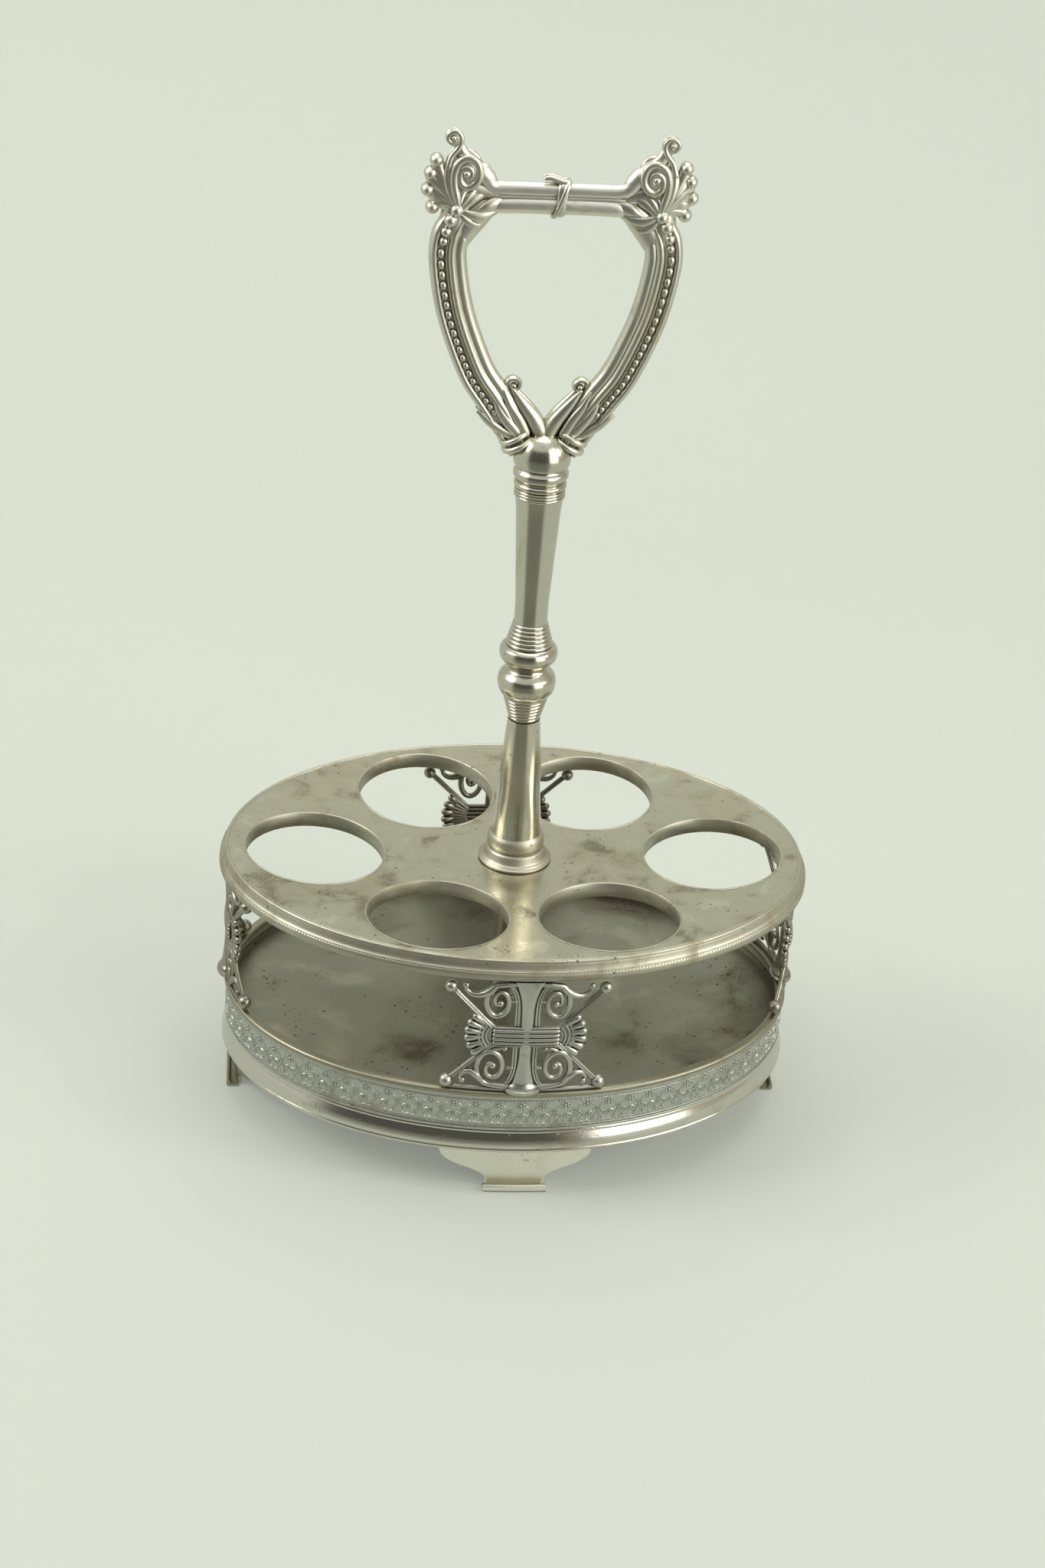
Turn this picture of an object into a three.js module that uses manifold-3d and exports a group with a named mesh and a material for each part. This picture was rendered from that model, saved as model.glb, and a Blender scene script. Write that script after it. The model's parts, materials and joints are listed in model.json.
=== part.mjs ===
// Oval table stand for six bottles, in silver-plated white metal.
//
// An oval base on four feet carries a flat floor with a low wall and a wire edge.
// Four pierced brackets stand on that edge and hold a dished top plate with six ringed holes.
// A turned stem of several pieces stands on the plate and ends in a loop handle,
// and a threaded rod inside the stem pulls everything down on the floor with a nut.
//
// Millimetres, +Z up, X along the oval, origin on the ground under the middle.

import * as THREE from 'three';
import { mergeVertices } from 'three/addons/utils/BufferGeometryUtils.js';
import Module from 'manifold-3d';

const wasm = await Module();
wasm.setup();

// Gap left between two pieces that are soldered or screwed together
const seam = 0.3;

// Base: oval of the wall's middle line, and its pieces from the ground up
const base = {
  halfLength: 103.4,
  halfWidth: 76.8,
  footHeight: 19,
  mouldingHeight: 8.6,
  mouldingDepth: 3.1,
  bandHeight: 13.7,
  bandWall: 1,
  ledge: 2,
  wireRadius: 1.2,
  floorSheet: 1.2,
  floorDepth: 6.6,
  floorEdge: 3.6,
  floorEdgeDrop: 0.4,
};

// Foot: stamped sheet that follows the moulding, with a turned-up toe
const foot = {
  halfWidth: 28,
  neckHalfWidth: 9.8,
  sheet: 1.5,
  tuck: 6,
  toeHalfWidth: 11.3,
  toeReach: 3,
  toeHeight: 3,
  toeSheet: 1.2,
};

// Bracket: pierced casting, drawn flat and bent round the oval
const bracket = {
  height: 47,
  halfSpan: 27,
  sheet: 2,
  lowerBall: 2.5,
  upperBall: 2.3,
  lowerBallHeight: 2.9,
  upperBallDrop: 4.2,
  strapHalfSpan: 12.3,
  strapRise: 3.5,
  strapDepth: 4.8,
  shellCentre: 8.4,
  shellRadius: 13.2,
  rod: 1,
  post: 1.9,
  strand: 0.9,
};

// Top plate: dished sheet in a rolled rim, oval of the line where the two meet
const plate = {
  halfLength: 104.7,
  halfWidth: 78.1,
  sheet: 1.4,
  dish: 4.2,
  rimDrop: 7,
  rimWall: 1.2,
  rimReach: 2,
  shelf: 2.2,
};

// Ringed hole: one at each end of the plate and two on each long side, with their margins to the
// plate's edge and the gap between the two
const hole = {
  radius: 25,
  wall: 0.9,
  depth: 5.5,
  endMargin: 7,
  sideMargin: 8.6,
  sideGap: 10.6,
};

// Stem: turned pieces on the plate, from the plate up
const stem = {
  footRadius: 13.6,
  footHeight: 11,
  lowerTubeLength: 45.8,
  lowerTubeRadius: 9.2,
  neckRadius: 6,
  knopRadius: 10.6,
  lowerKnopHeight: 20.6,
  upperKnopHeight: 17,
  upperTubeLength: 47.5,
  upperTubeRadius: 8.55,
  ferruleHeight: 11.5,
  ferruleRadius: 9.8,
  domeRadius: 10.2,
  domeRise: 2.1,
};

// Handle: loop of two arms and two bars, with a scrolled casting at each upper corner
const handle = {
  loopHeight: 88.2,
  halfWidth: 35.6,
  armWidth: 12.6,
  armDepth: 8,
  lowerBarRadius: 2.9,
  upperBarRadius: 2.4,
  lowerBarSag: 0.7,
  lowerBarDrop: 4.2,
  upperBarSag: 0.8,
  upperBarLift: 3.8,
  tieWidth: 5,
  tieWall: 1.3,
  knotRadius: 1.3,
  knotLength: 6,
  huskRadius: 1.5,
  curlRadius: 2,
  collarWidth: 1.8,
  collarReach: 0.5,
};

// Corner casting: places are shares of the loop's half width, across from the middle and up from
// the lower bar
const corner = {
  disc: { radius: 5.8, depth: 5.4, at: [0.87, 0.284] },
  topScroll: { radius: 3.3, depth: 4.4, at: [1.005, 0.567] },
  core: { wide: 6, deep: 3.7, line: [[0.95, -0.242], [0.95, -0.056], [0.92, 0.112], [0.875, 0.267]] },
  elbow: {
    wide: 5,
    deep: 3.9,
    line: [[0.59, -0.006], [0.68, -0.034], [0.775, -0.107], [0.855, -0.215], [0.935, -0.36]],
  },
  flare: { wide: 3.6, deep: 3.6, line: [[0.67, 0.208], [0.8, 0.264]] },
  stalk: { radius: 1.5, line: [[0.97, -0.098], [1.06, 0.084], [1.08, 0.239], [1.03, 0.382], [1.04, 0.5]] },
  leaf: { radius: 1.7, root: [0.93, -0.098], tipRadius: 2.25 },
  lobes: [[1.16, 0.388], [1.205, 0.25], [1.235, 0.101], [1.18, -0.051]],
};

// Fixing: rod through the stem, sleeve between floor and plate, washer and nut below
const fixing = {
  rodRadius: 2.4,
  rodTopInDome: 1.5,
  rodTail: 2,
  sleeveRadius: 6,
  sleeveWall: 1,
  bossMargin: 1.2,
  bossRise: 0.3,
  washerRadius: 9,
  washerThickness: 1,
  nutFlats: 11,
  nutHeight: 5,
};

// Facets
const ovalFacets = 36;
const stemFacets = 14;
const holeFacets = 20;

// Heights that follow from the sizes above
const mouldingTop = base.footHeight + base.mouldingHeight;
const bandBottom = mouldingTop + seam;
const bandTop = bandBottom + base.bandHeight;
const wireHeight = bandTop + seam + base.wireRadius;
const wireTop = wireHeight + base.wireRadius;
const floorTop = wireTop - base.floorDepth;
const floorBottom = floorTop - base.floorSheet;
const bracketBottom = wireTop + seam;
const rimBottom = bracketBottom + bracket.height + seam;
const rimLevel = rimBottom + plate.rimDrop;
const plateTop = rimLevel - plate.dish;
const plateBottom = plateTop - plate.sheet;
const boreRadius = fixing.rodRadius + seam;
const stemBottom = plateTop + seam;
const lowerTubeBottom = stemBottom + stem.footHeight + seam;
const lowerKnopBottom = lowerTubeBottom + stem.lowerTubeLength + seam;
const upperKnopBottom = lowerKnopBottom + stem.lowerKnopHeight + seam;
const upperTubeBottom = upperKnopBottom + stem.upperKnopHeight + seam;
const ferruleBottom = upperTubeBottom + stem.upperTubeLength + seam;
const domeBottom = ferruleBottom + stem.ferruleHeight + seam;
const domeCentre = domeBottom + stem.domeRise;
const barHeight = domeCentre + handle.loopHeight;

// Finishes
const finishes = {
  polished: new THREE.MeshStandardMaterial({ color: 0xc9c4b0, roughness: 0.22, metalness: 1 }),
  worn: new THREE.MeshStandardMaterial({ color: 0xa9a48c, roughness: 0.42, metalness: 1 }),
  stained: new THREE.MeshStandardMaterial({ color: 0x7d7b68, roughness: 0.55, metalness: 1 }),
  oxidised: new THREE.MeshStandardMaterial({ color: 0x85877c, roughness: 0.38, metalness: 1 }),
  steel: new THREE.MeshStandardMaterial({ color: 0x8c8a84, roughness: 0.5, metalness: 1 }),
};

// Closed body with shared corners, without triangles that have no area
function weld(geometry) {
  const bare = geometry.clone();
  bare.deleteAttribute('normal');
  bare.deleteAttribute('uv');
  const merged = mergeVertices(bare, 1e-4);
  const kept = [];
  const corners = merged.index.array;
  for (let i = 0; i < corners.length; i += 3) {
    const [a, b, c] = corners.slice(i, i + 3);
    if (a !== b && b !== c && c !== a) kept.push(a, b, c);
  }
  merged.setIndex(kept);
  return merged;
}

// Solid for joining and cutting, from a closed geometry
function toSolid(geometry) {
  const body = weld(geometry);
  return new wasm.Manifold(new wasm.Mesh({
    numProp: 3,
    vertProperties: new Float32Array(body.attributes.position.array),
    triVerts: new Uint32Array(body.index.array),
  }));
}

function toGeometry(solid) {
  const mesh = solid.getMesh();
  const geometry = new THREE.BufferGeometry();
  geometry.setAttribute('position', new THREE.BufferAttribute(mesh.vertProperties, mesh.numProp));
  geometry.setIndex(new THREE.BufferAttribute(mesh.triVerts, 1));
  return geometry;
}

function join(geometries) {
  return geometries.map(toSolid).reduce((sum, solid) => sum.add(solid));
}

// Closed outline of points, each [radius or offset, height], listed anticlockwise
function closed(points) {
  const outline = points.map(([x, y]) => new THREE.Vector2(x, y));
  return [...outline, outline[0].clone()];
}

// Turned piece about the vertical axis
function turn(points, facets, bottom = 0) {
  return new THREE.LatheGeometry(points, facets).rotateX(Math.PI / 2).translate(0, 0, bottom);
}

// Ring that follows an oval: the outline is [offset from the oval line, height]
function ovalRing(outline, halfLength, halfWidth) {
  const ring = turn(closed(outline.map(([u, z]) => [halfLength + u, z])), ovalFacets);
  const at = ring.attributes.position;
  for (let i = 0; i < at.count; i += 1) {
    const offset = Math.hypot(at.getX(i), at.getY(i)) - halfLength;
    const angle = Math.atan2(at.getY(i), at.getX(i));
    const place = ovalPoint(halfLength, halfWidth, angle, offset);
    at.setXY(i, place.x, place.y);
  }
  return ring;
}

function ovalPoint(halfLength, halfWidth, angle, offset) {
  const normal = new THREE.Vector2(halfWidth * Math.cos(angle), halfLength * Math.sin(angle));
  const point = new THREE.Vector2(halfLength * Math.cos(angle), halfWidth * Math.sin(angle));
  return point.add(normal.normalize().multiplyScalar(offset));
}

function ovalShape(halfLength, halfWidth, offset) {
  const corners = [];
  for (let i = 0; i < ovalFacets; i += 1) {
    corners.push(ovalPoint(halfLength, halfWidth, (2 * Math.PI * i) / ovalFacets, offset));
  }
  return new THREE.Shape(corners);
}

function regular(radius, sides) {
  const corners = [];
  for (let i = 0; i < sides; i += 1) {
    const angle = (2 * Math.PI * i) / sides;
    corners.push(new THREE.Vector2(radius * Math.cos(angle), radius * Math.sin(angle)));
  }
  return new THREE.Shape(corners);
}

// Bar of one section along a curve
function sweep(section, path, steps) {
  return new THREE.ExtrudeGeometry(section, { steps, extrudePath: path, bevelEnabled: false });
}

// Slab of an outline drawn in X and Z, centred on y
function upright(shape, depth, y = 0, curveSegments = 6) {
  const slab = new THREE.ExtrudeGeometry(shape, { depth, bevelEnabled: false, curveSegments });
  return slab.rotateX(Math.PI / 2).translate(0, y + depth / 2, 0);
}

// Base

// Floor with its edge set lower, and a low boss under the sleeve
function floorPan() {
  const out = -base.bandWall / 2 - seam;
  const flat = out - base.floorEdge;
  const bossRadius = fixing.sleeveRadius + fixing.bossMargin;
  const outline = ovalShape(base.halfLength, base.halfWidth, flat);
  const opening = (boreRadius + bossRadius) / 2;
  outline.holes.push(new THREE.Path(regular(opening, stemFacets).getPoints()));
  const sheet = new THREE.ExtrudeGeometry(outline, { depth: base.floorSheet, bevelEnabled: false });
  const edge = ovalRing([
    [flat - base.floorSheet, floorBottom],
    [out, floorBottom],
    [out, floorTop - base.floorEdgeDrop],
    [flat, floorTop],
    [flat - base.floorSheet, floorTop],
  ], base.halfLength, base.halfWidth);
  const bossTop = base.floorSheet + fixing.bossRise;
  const boss = [[boreRadius, 0], [bossRadius, 0], [bossRadius, bossTop], [boreRadius, bossTop]];
  return toGeometry(join([
    sheet.translate(0, 0, floorBottom),
    edge,
    turn(closed(boss), stemFacets, floorBottom),
  ]));
}

function galleryBand() {
  const out = base.bandWall / 2;
  const ledgeTop = floorBottom - seam;
  const ledgeBottom = ledgeTop - base.bandWall;
  return ovalRing([
    [-out, bandBottom],
    [out, bandBottom],
    [out, bandTop],
    [-out, bandTop],
    [-out, ledgeTop],
    [-out - base.ledge, ledgeTop],
    [-out - base.ledge, ledgeBottom],
    [-out, ledgeBottom],
  ], base.halfLength, base.halfWidth);
}

function galleryWire() {
  const corners = regular(base.wireRadius, 6).getPoints();
  const outline = corners.map((corner) => [corner.x, wireHeight + corner.y]);
  return ovalRing(outline, base.halfLength, base.halfWidth);
}

function baseMoulding() {
  const z = base.footHeight;
  const lip = 0.22 * base.mouldingHeight;
  const bead = 0.12 * base.mouldingHeight;
  const swell = base.mouldingHeight - lip - bead;
  return ovalRing([
    [-base.mouldingDepth, z],
    [1.7, z],
    [1.7, z + 0.8 * lip],
    [1, z + lip],
    [1.6, z + lip + 0.25 * swell],
    [1.3, z + lip + 0.6 * swell],
    [0.1, mouldingTop - bead],
    [0.8, mouldingTop - 0.6 * bead],
    [0.5, mouldingTop],
    [-base.mouldingDepth, mouldingTop],
  ], base.halfLength, base.halfWidth);
}

// Outline of a foot's front, both sides from the tuck under the moulding to the toe
function footOutline() {
  const top = base.footHeight;
  const bend = { x: 0.68 * foot.halfWidth, z: 0.62 * top };
  const outline = new THREE.Shape();
  outline.moveTo(foot.halfWidth, top + foot.tuck);
  outline.lineTo(-foot.halfWidth, top + foot.tuck);
  outline.lineTo(-foot.halfWidth, top);
  outline.quadraticCurveTo(-0.9 * foot.halfWidth, 0.72 * top, -bend.x, bend.z);
  outline.quadraticCurveTo(-foot.neckHalfWidth - 1, 0.5 * top, -foot.neckHalfWidth, 0.22 * top);
  outline.lineTo(-foot.neckHalfWidth, foot.toeSheet / 2);
  outline.lineTo(foot.neckHalfWidth, foot.toeSheet / 2);
  outline.lineTo(foot.neckHalfWidth, 0.22 * top);
  outline.quadraticCurveTo(foot.neckHalfWidth + 1, 0.5 * top, bend.x, bend.z);
  outline.quadraticCurveTo(0.9 * foot.halfWidth, 0.72 * top, foot.halfWidth, top);
  return outline;
}

// Foot at one end of an axis of the oval, at the given distance from the middle
function footPiece(turnAngle, faceDistance) {
  const outer = -base.mouldingDepth - seam;
  const wall = ovalRing([
    [outer - foot.sheet, 0],
    [outer, 0],
    [outer, base.footHeight + foot.tuck],
    [outer - foot.sheet, base.footHeight + foot.tuck],
  ], base.halfLength, base.halfWidth);
  const reach = 2 * foot.halfWidth;
  const cutter = upright(footOutline(), reach, -faceDistance, 5).rotateZ(turnAngle);
  const face = faceDistance + outer;
  const toe = new THREE.Shape([
    [foot.sheet + 1.1, 0],
    [-foot.toeReach, 0],
    [-foot.toeReach, foot.toeHeight],
    [-foot.toeReach + foot.toeSheet, foot.toeHeight],
    [-foot.toeReach + foot.toeSheet, foot.toeSheet],
    [foot.sheet + 1.1, foot.toeSheet],
  ].map(([y, z]) => new THREE.Vector2(y, z)));
  const toeWidth = 2 * foot.toeHalfWidth;
  const tray = new THREE.ExtrudeGeometry(toe, { depth: toeWidth, bevelEnabled: false })
    .rotateX(Math.PI / 2)
    .rotateZ(Math.PI / 2)
    .translate(-foot.toeHalfWidth, -face, 0)
    .rotateZ(turnAngle);
  return toGeometry(toSolid(wall).intersect(toSolid(cutter)).add(toSolid(tray)));
}

// Bracket

// Point of the bracket's wall: s along the oval from its middle, h up from its foot, t outwards
function bracketWall(startAngle) {
  const rimLine = plate.rimReach - plate.rimWall / 2;
  return (s, h, t = 0) => {
    const share = h / bracket.height;
    const a = base.halfLength + share * (plate.halfLength + rimLine - base.halfLength);
    const b = base.halfWidth + share * (plate.halfWidth + rimLine - base.halfWidth);
    const walk = 8;
    let angle = startAngle;
    for (let i = 0; i < walk; i += 1) {
      angle += s / walk / Math.hypot(a * Math.sin(angle), b * Math.cos(angle));
    }
    const place = ovalPoint(a, b, angle, t);
    return new THREE.Vector3(place.x, place.y, bracketBottom + h);
  };
}

class WallLine extends THREE.Curve {
  constructor(wall, from, to) {
    super();
    this.wall = wall;
    this.from = new THREE.Vector2(...from);
    this.to = new THREE.Vector2(...to);
    this.arcLengthDivisions = 20;
  }

  getPoint(t) {
    const place = this.from.clone().lerp(this.to, t);
    return this.wall(place.x, place.y);
  }
}

// Pierced sheet of the bracket, drawn flat: x across from the middle, y up from the strap

// Straight rod from the strap's end to a corner ball: its two edges, each [inner end, outer end]
function rodEdges(ballRise) {
  const from = new THREE.Vector2(bracket.strapHalfSpan - bracket.rod, bracket.strapRise - bracket.rod);
  const to = new THREE.Vector2(bracket.halfSpan, ballRise);
  const along = to.clone().sub(from).normalize();
  const aside = new THREE.Vector2(-along.y, along.x).multiplyScalar(bracket.rod);
  const inner = from.clone().addScaledVector(along, 0.35 * from.distanceTo(to));
  const edge = (sign) => [inner, to].map((point) => point.clone().addScaledVector(aside, sign));
  return { above: edge(1), below: edge(-1) };
}

// Scalloped edge of the shell, from the strap's middle up to the rod
function shellEdge() {
  const points = [];
  const flute = Math.PI / 9.5;
  for (const [turns, reach] of [[0.3, 1], [0.5, 0.87], [0.7, 1], [1.3, 1], [1.5, 0.87]]) {
    const angle = turns * flute;
    const distance = reach * bracket.shellRadius;
    points.push([bracket.shellCentre + distance * Math.cos(angle), distance * Math.sin(angle)]);
  }
  return points;
}

// Edge of the upper quarter, from the rod's outer edge round the tendril to the head rail
function headEdge(top, rod) {
  const wide = bracket.halfSpan;
  return [
    rod.below[0].toArray(),
    rod.below[1].toArray(),
    rod.above[1].toArray(),
    rod.above[0].toArray(),
    [0.585 * wide, 0.56 * top],
    [0.65 * wide, 0.69 * top],
    [0.74 * wide, 0.7 * top],
    [0.8 * wide, 0.79 * top],
    [0.79 * wide, 0.9 * top],
    [0.72 * wide, 0.94 * top],
    [0.7 * wide, 0.86 * top],
    [0.66 * wide, 0.78 * top],
    [0.55 * wide, 0.86 * top],
    [0.43 * wide, 0.96 * top],
    [0.33 * wide, top],
  ];
}

// Edge of the lower quarter: the rod, then the foot rail
function footEdge(top, rod) {
  return [rod.below[0].toArray(), rod.below[1].toArray(), [bracket.halfSpan, top]];
}

// Opening of a scroll: it winds round the eye and narrows as it goes
function scrollHole(centre, halfWide, halfTall) {
  const points = [];
  const sweepAngle = 1.62 * Math.PI;
  const begin = 0.52 * Math.PI;
  const arc = (count, size) => {
    for (let i = 0; i <= count; i += 1) {
      const angle = begin - (sweepAngle * i) / count;
      const reach = size(i / count);
      points.push([centre[0] + reach * halfWide * Math.cos(angle),
        centre[1] + reach * halfTall * Math.sin(angle)]);
    }
  };
  arc(8, () => 1);
  const outer = points.splice(0);
  arc(5, (along) => 0.36 + 0.3 * along ** 2);
  return [...outer, ...points.reverse()];
}

// Openings of one quarter; the lower one has the gap over the foot rail as well
function quarterHoles(top, lower) {
  const wide = bracket.halfSpan;
  const centre = [0.395 * wide, 0.57 * top];
  const edge = bracket.post + 2.4 * bracket.strand;
  const holes = [
    scrollHole(centre, 0.135 * wide, 0.245 * top),
    [[edge, 0.2 * top], [0.33 * wide, 0.21 * top], [edge, 0.47 * top]],
    [[edge, 0.68 * top], [0.27 * wide, 0.86 * top], [edge, 0.85 * top]],
  ];
  if (lower) {
    holes.push([[0.5 * wide, 0.9 * top], [0.64 * wide, 0.77 * top], [0.75 * wide, 0.76 * top],
      [0.91 * wide, 0.92 * top]]);
    holes.push([[0.6 * wide, 0.53 * top], [0.74 * wide, 0.66 * top], [0.62 * wide, 0.68 * top]]);
  }
  return holes;
}

function piercedSheet() {
  const top = bracket.height / 2;
  const upperRod = rodEdges(bracket.height - bracket.upperBallDrop - top);
  const lowerRod = rodEdges(top - bracket.lowerBallHeight);
  const shell = shellEdge();
  const upperRight = [...shell, ...headEdge(top, upperRod)];
  const lowerRight = [...shell, ...footEdge(top, lowerRod)].map(([x, y]) => [x, -y]);
  const right = [...lowerRight.reverse(), ...upperRight];
  const left = right.map(([x, y]) => [-x, y]).reverse();
  const sheet = new THREE.Shape([...right, ...left].map(([x, y]) => new THREE.Vector2(x, y)));
  for (const side of [-1, 1]) {
    for (const up of [-1, 1]) {
      for (const points of quarterHoles(top, up < 0)) {
        sheet.holes.push(new THREE.Path(points.map(([x, y]) => new THREE.Vector2(side * x, up * y))));
      }
    }
  }
  const depth = bracket.sheet;
  return new THREE.ExtrudeGeometry(sheet, { depth, bevelEnabled: false })
    .translate(0, top, -depth / 2);
}

// Section of the strap across the post: three reeds, front and back
function strapSection() {
  const reed = (2 * bracket.strapRise) / 3;
  const deep = bracket.strapDepth / 2;
  const front = [];
  for (const row of [-1, 0, 1]) {
    front.push([0.62 * deep, (row - 0.5) * reed], [deep, row * reed]);
  }
  front.push([0.62 * deep, 1.5 * reed]);
  const back = front.map(([x, y]) => [-x, y]).reverse();
  return new THREE.Shape([...front, ...back].map(([x, y]) => new THREE.Vector2(y, x)));
}

function bracketPiece(startAngle) {
  const wall = bracketWall(startAngle);
  const middle = bracket.height / 2;
  const sheet = piercedSheet();
  const at = sheet.attributes.position;
  for (let i = 0; i < at.count; i += 1) {
    const point = wall(at.getX(i), at.getY(i), at.getZ(i));
    at.setXYZ(i, point.x, point.y, point.z);
  }
  const post = new WallLine(wall, [0, 0], [0, bracket.height]);
  const ends = [[-bracket.strapHalfSpan, middle], [bracket.strapHalfSpan, middle]];
  const parts = [
    sheet,
    sweep(regular(bracket.post, 6), post, 1),
    sweep(strapSection(), new WallLine(wall, ...ends), 3),
  ];
  for (const side of [-1, 1]) {
    for (const [height, radius] of [
      [bracket.lowerBallHeight, bracket.lowerBall],
      [bracket.height - bracket.upperBallDrop, bracket.upperBall],
    ]) {
      const centre = wall(side * bracket.halfSpan, height);
      parts.push(new THREE.SphereGeometry(radius, 7, 4).translate(centre.x, centre.y, centre.z));
    }
  }
  return toGeometry(join(parts));
}

// Top plate

// Height of the dished surface above its middle
function dishHeight(x, y) {
  return plate.dish * ((x / plate.halfLength) ** 2 + (y / plate.halfWidth) ** 2);
}

function holeCentres() {
  const endX = plate.halfLength - hole.radius - hole.endMargin;
  const sideX = hole.radius + hole.sideGap / 2;
  const sideY = plate.halfWidth - hole.radius - hole.sideMargin;
  return [[-endX, 0], [-sideX, -sideY], [sideX, -sideY], [endX, 0], [sideX, sideY], [-sideX, sideY]];
}

function topPlate() {
  const top = [0, 0.2, 0.6, 1].map((share) => [share, plate.dish * share ** 2]);
  const bottom = top.map(([share, z]) => [share, z - plate.sheet]).reverse();
  const outline = closed([...top.reverse(), ...bottom.reverse()]);
  const sheet = turn(outline, ovalFacets, plateTop)
    .scale(plate.halfLength - seam, plate.halfWidth - seam, 1);
  const tall = 4 * plate.dish;
  const drill = (radius, facets, x, y) => toSolid(
    new THREE.CylinderGeometry(radius, radius, tall, facets).rotateX(Math.PI / 2).translate(x, y, plateTop),
  );
  const cuts = holeCentres().map(([x, y]) => drill(hole.radius + hole.wall + seam, holeFacets, x, y));
  cuts.push(drill(boreRadius, stemFacets, 0, 0));
  return toGeometry(cuts.reduce((solid, cut) => solid.subtract(cut), toSolid(sheet)));
}

function holeBand(x, y) {
  const { radius, wall, depth } = hole;
  const outline = [[radius, -depth], [radius + wall, -depth], [radius + wall, 0], [radius, 0]];
  const band = turn(closed(outline), holeFacets).translate(x, y, plateTop);
  const at = band.attributes.position;
  for (let i = 0; i < at.count; i += 1) {
    at.setZ(i, at.getZ(i) + dishHeight(at.getX(i), at.getY(i)));
  }
  return band;
}

function rimMoulding() {
  const out = plate.rimReach;
  const inner = out - plate.rimWall;
  const roll = 0.7;
  const seat = rimLevel - plate.sheet - seam;
  return ovalRing([
    [inner, rimBottom],
    [out, rimBottom],
    [out, rimLevel - 2.9],
    [out + roll, rimLevel - 2.5],
    [out + 0.9 * roll, rimLevel - 2.1],
    [0.6 * out, rimLevel - 1.4],
    [0.45 * out, rimLevel - 0.45],
    [0.2 * out, rimLevel + 0.2],
    [0, rimLevel + 0.1],
    [0, seat],
    [-plate.shelf, seat - 0.3],
    [-plate.shelf, seat - 1.1],
    [inner, seat - 1.1],
  ], plate.halfLength, plate.halfWidth);
}

// Stem

// Turned piece with the rod's bore, from an outer profile of [radius, height] above its foot
function bored(profile, bottom) {
  const last = profile[profile.length - 1][1];
  return turn(closed([[boreRadius, 0], ...profile, [boreRadius, last]]), stemFacets, bottom);
}

// Fine rings on a cone: a ridge and a groove for each ring
function reeds(count, from, to, fromRadius, toRadius, relief) {
  const points = [];
  for (let i = 0; i < count; i += 1) {
    const ridge = (i + 0.5) / count;
    const groove = (i + 1) / count;
    points.push([fromRadius + ridge * (toRadius - fromRadius) + relief, from + ridge * (to - from)]);
    points.push([fromRadius + groove * (toRadius - fromRadius), from + groove * (to - from)]);
  }
  return points;
}

function stemFoot() {
  const r = stem.footRadius;
  const h = stem.footHeight;
  return bored([
    [r, 0],
    [r, 0.07 * h],
    [0.91 * r, 0.16 * h],
    [0.83 * r, 0.36 * h],
    [0.77 * r, 0.47 * h],
    [0.72 * r, 0.52 * h],
    [0.76 * r, 0.62 * h],
    [0.77 * r, 0.78 * h],
    [0.73 * r, 0.93 * h],
    [0.68 * r, h],
  ], stemBottom);
}

function lowerTube() {
  const length = stem.lowerTubeLength;
  const wide = stem.lowerTubeRadius;
  const narrow = stem.neckRadius;
  return bored([
    [wide, 0],
    [wide - 0.14 * (wide - narrow), 0.12 * length],
    [wide - 0.38 * (wide - narrow), 0.34 * length],
    [wide - 0.62 * (wide - narrow), 0.66 * length],
    [wide - 0.84 * (wide - narrow), 0.87 * length],
    [narrow, length],
  ], lowerTubeBottom);
}

function lowerKnop() {
  const h = stem.lowerKnopHeight;
  const r = stem.knopRadius;
  return bored([
    [stem.neckRadius, 0],
    ...reeds(7, 0, 0.5 * h, stem.neckRadius, 0.87 * r, 0.35),
    [0.97 * r, 0.58 * h],
    [r, 0.7 * h],
    [0.97 * r, 0.83 * h],
    [0.86 * r, 0.92 * h],
    [0.68 * r, 0.96 * h],
    [0.66 * r, h],
  ], lowerKnopBottom);
}

function upperKnop() {
  const h = stem.upperKnopHeight;
  const r = stem.knopRadius;
  return bored([
    [0.66 * r, 0],
    [0.68 * r, 0.03 * h],
    [0.86 * r, 0.06 * h],
    [0.98 * r, 0.18 * h],
    [r, 0.3 * h],
    [0.95 * r, 0.42 * h],
    [0.89 * r, 0.48 * h],
    ...reeds(7, 0.48 * h, h, 0.85 * r, stem.neckRadius, 0.35),
  ], upperKnopBottom);
}

function upperTube() {
  const length = stem.upperTubeLength;
  const wide = stem.upperTubeRadius;
  const narrow = stem.neckRadius;
  return bored([
    [narrow, 0],
    [narrow + 0.06 * (wide - narrow), 0.19 * length],
    [narrow + 0.3 * (wide - narrow), 0.42 * length],
    [narrow + 0.52 * (wide - narrow), 0.65 * length],
    [narrow + 0.78 * (wide - narrow), 0.88 * length],
    [wide, length],
  ], upperTubeBottom);
}

function ferrule() {
  const h = stem.ferruleHeight;
  const r = stem.ferruleRadius;
  const low = stem.upperTubeRadius;
  return bored([
    [low, 0],
    ...reeds(3, 0, 0.5 * h, low, 0.94 * r, 0.4),
    [r, 0.56 * h],
    [r, 0.7 * h],
    [0.93 * r, 0.75 * h],
    [r, 0.8 * h],
    [r, 0.94 * h],
    [0.93 * r, h],
  ], ferruleBottom);
}

// Dome that closes the stem: the rod ends inside it, in a blind bore
function domeOutline(swell) {
  const r = stem.domeRadius + swell;
  const points = [[0.95 * r, 0], [r, 0.5 * stem.domeRise]];
  const arcs = 6;
  for (let i = 0; i <= arcs; i += 1) {
    const angle = (i / arcs) * (Math.PI / 2);
    points.push([r * Math.cos(angle), stem.domeRise + r * Math.sin(angle)]);
  }
  points[points.length - 1][0] = 0;
  return points;
}

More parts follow.
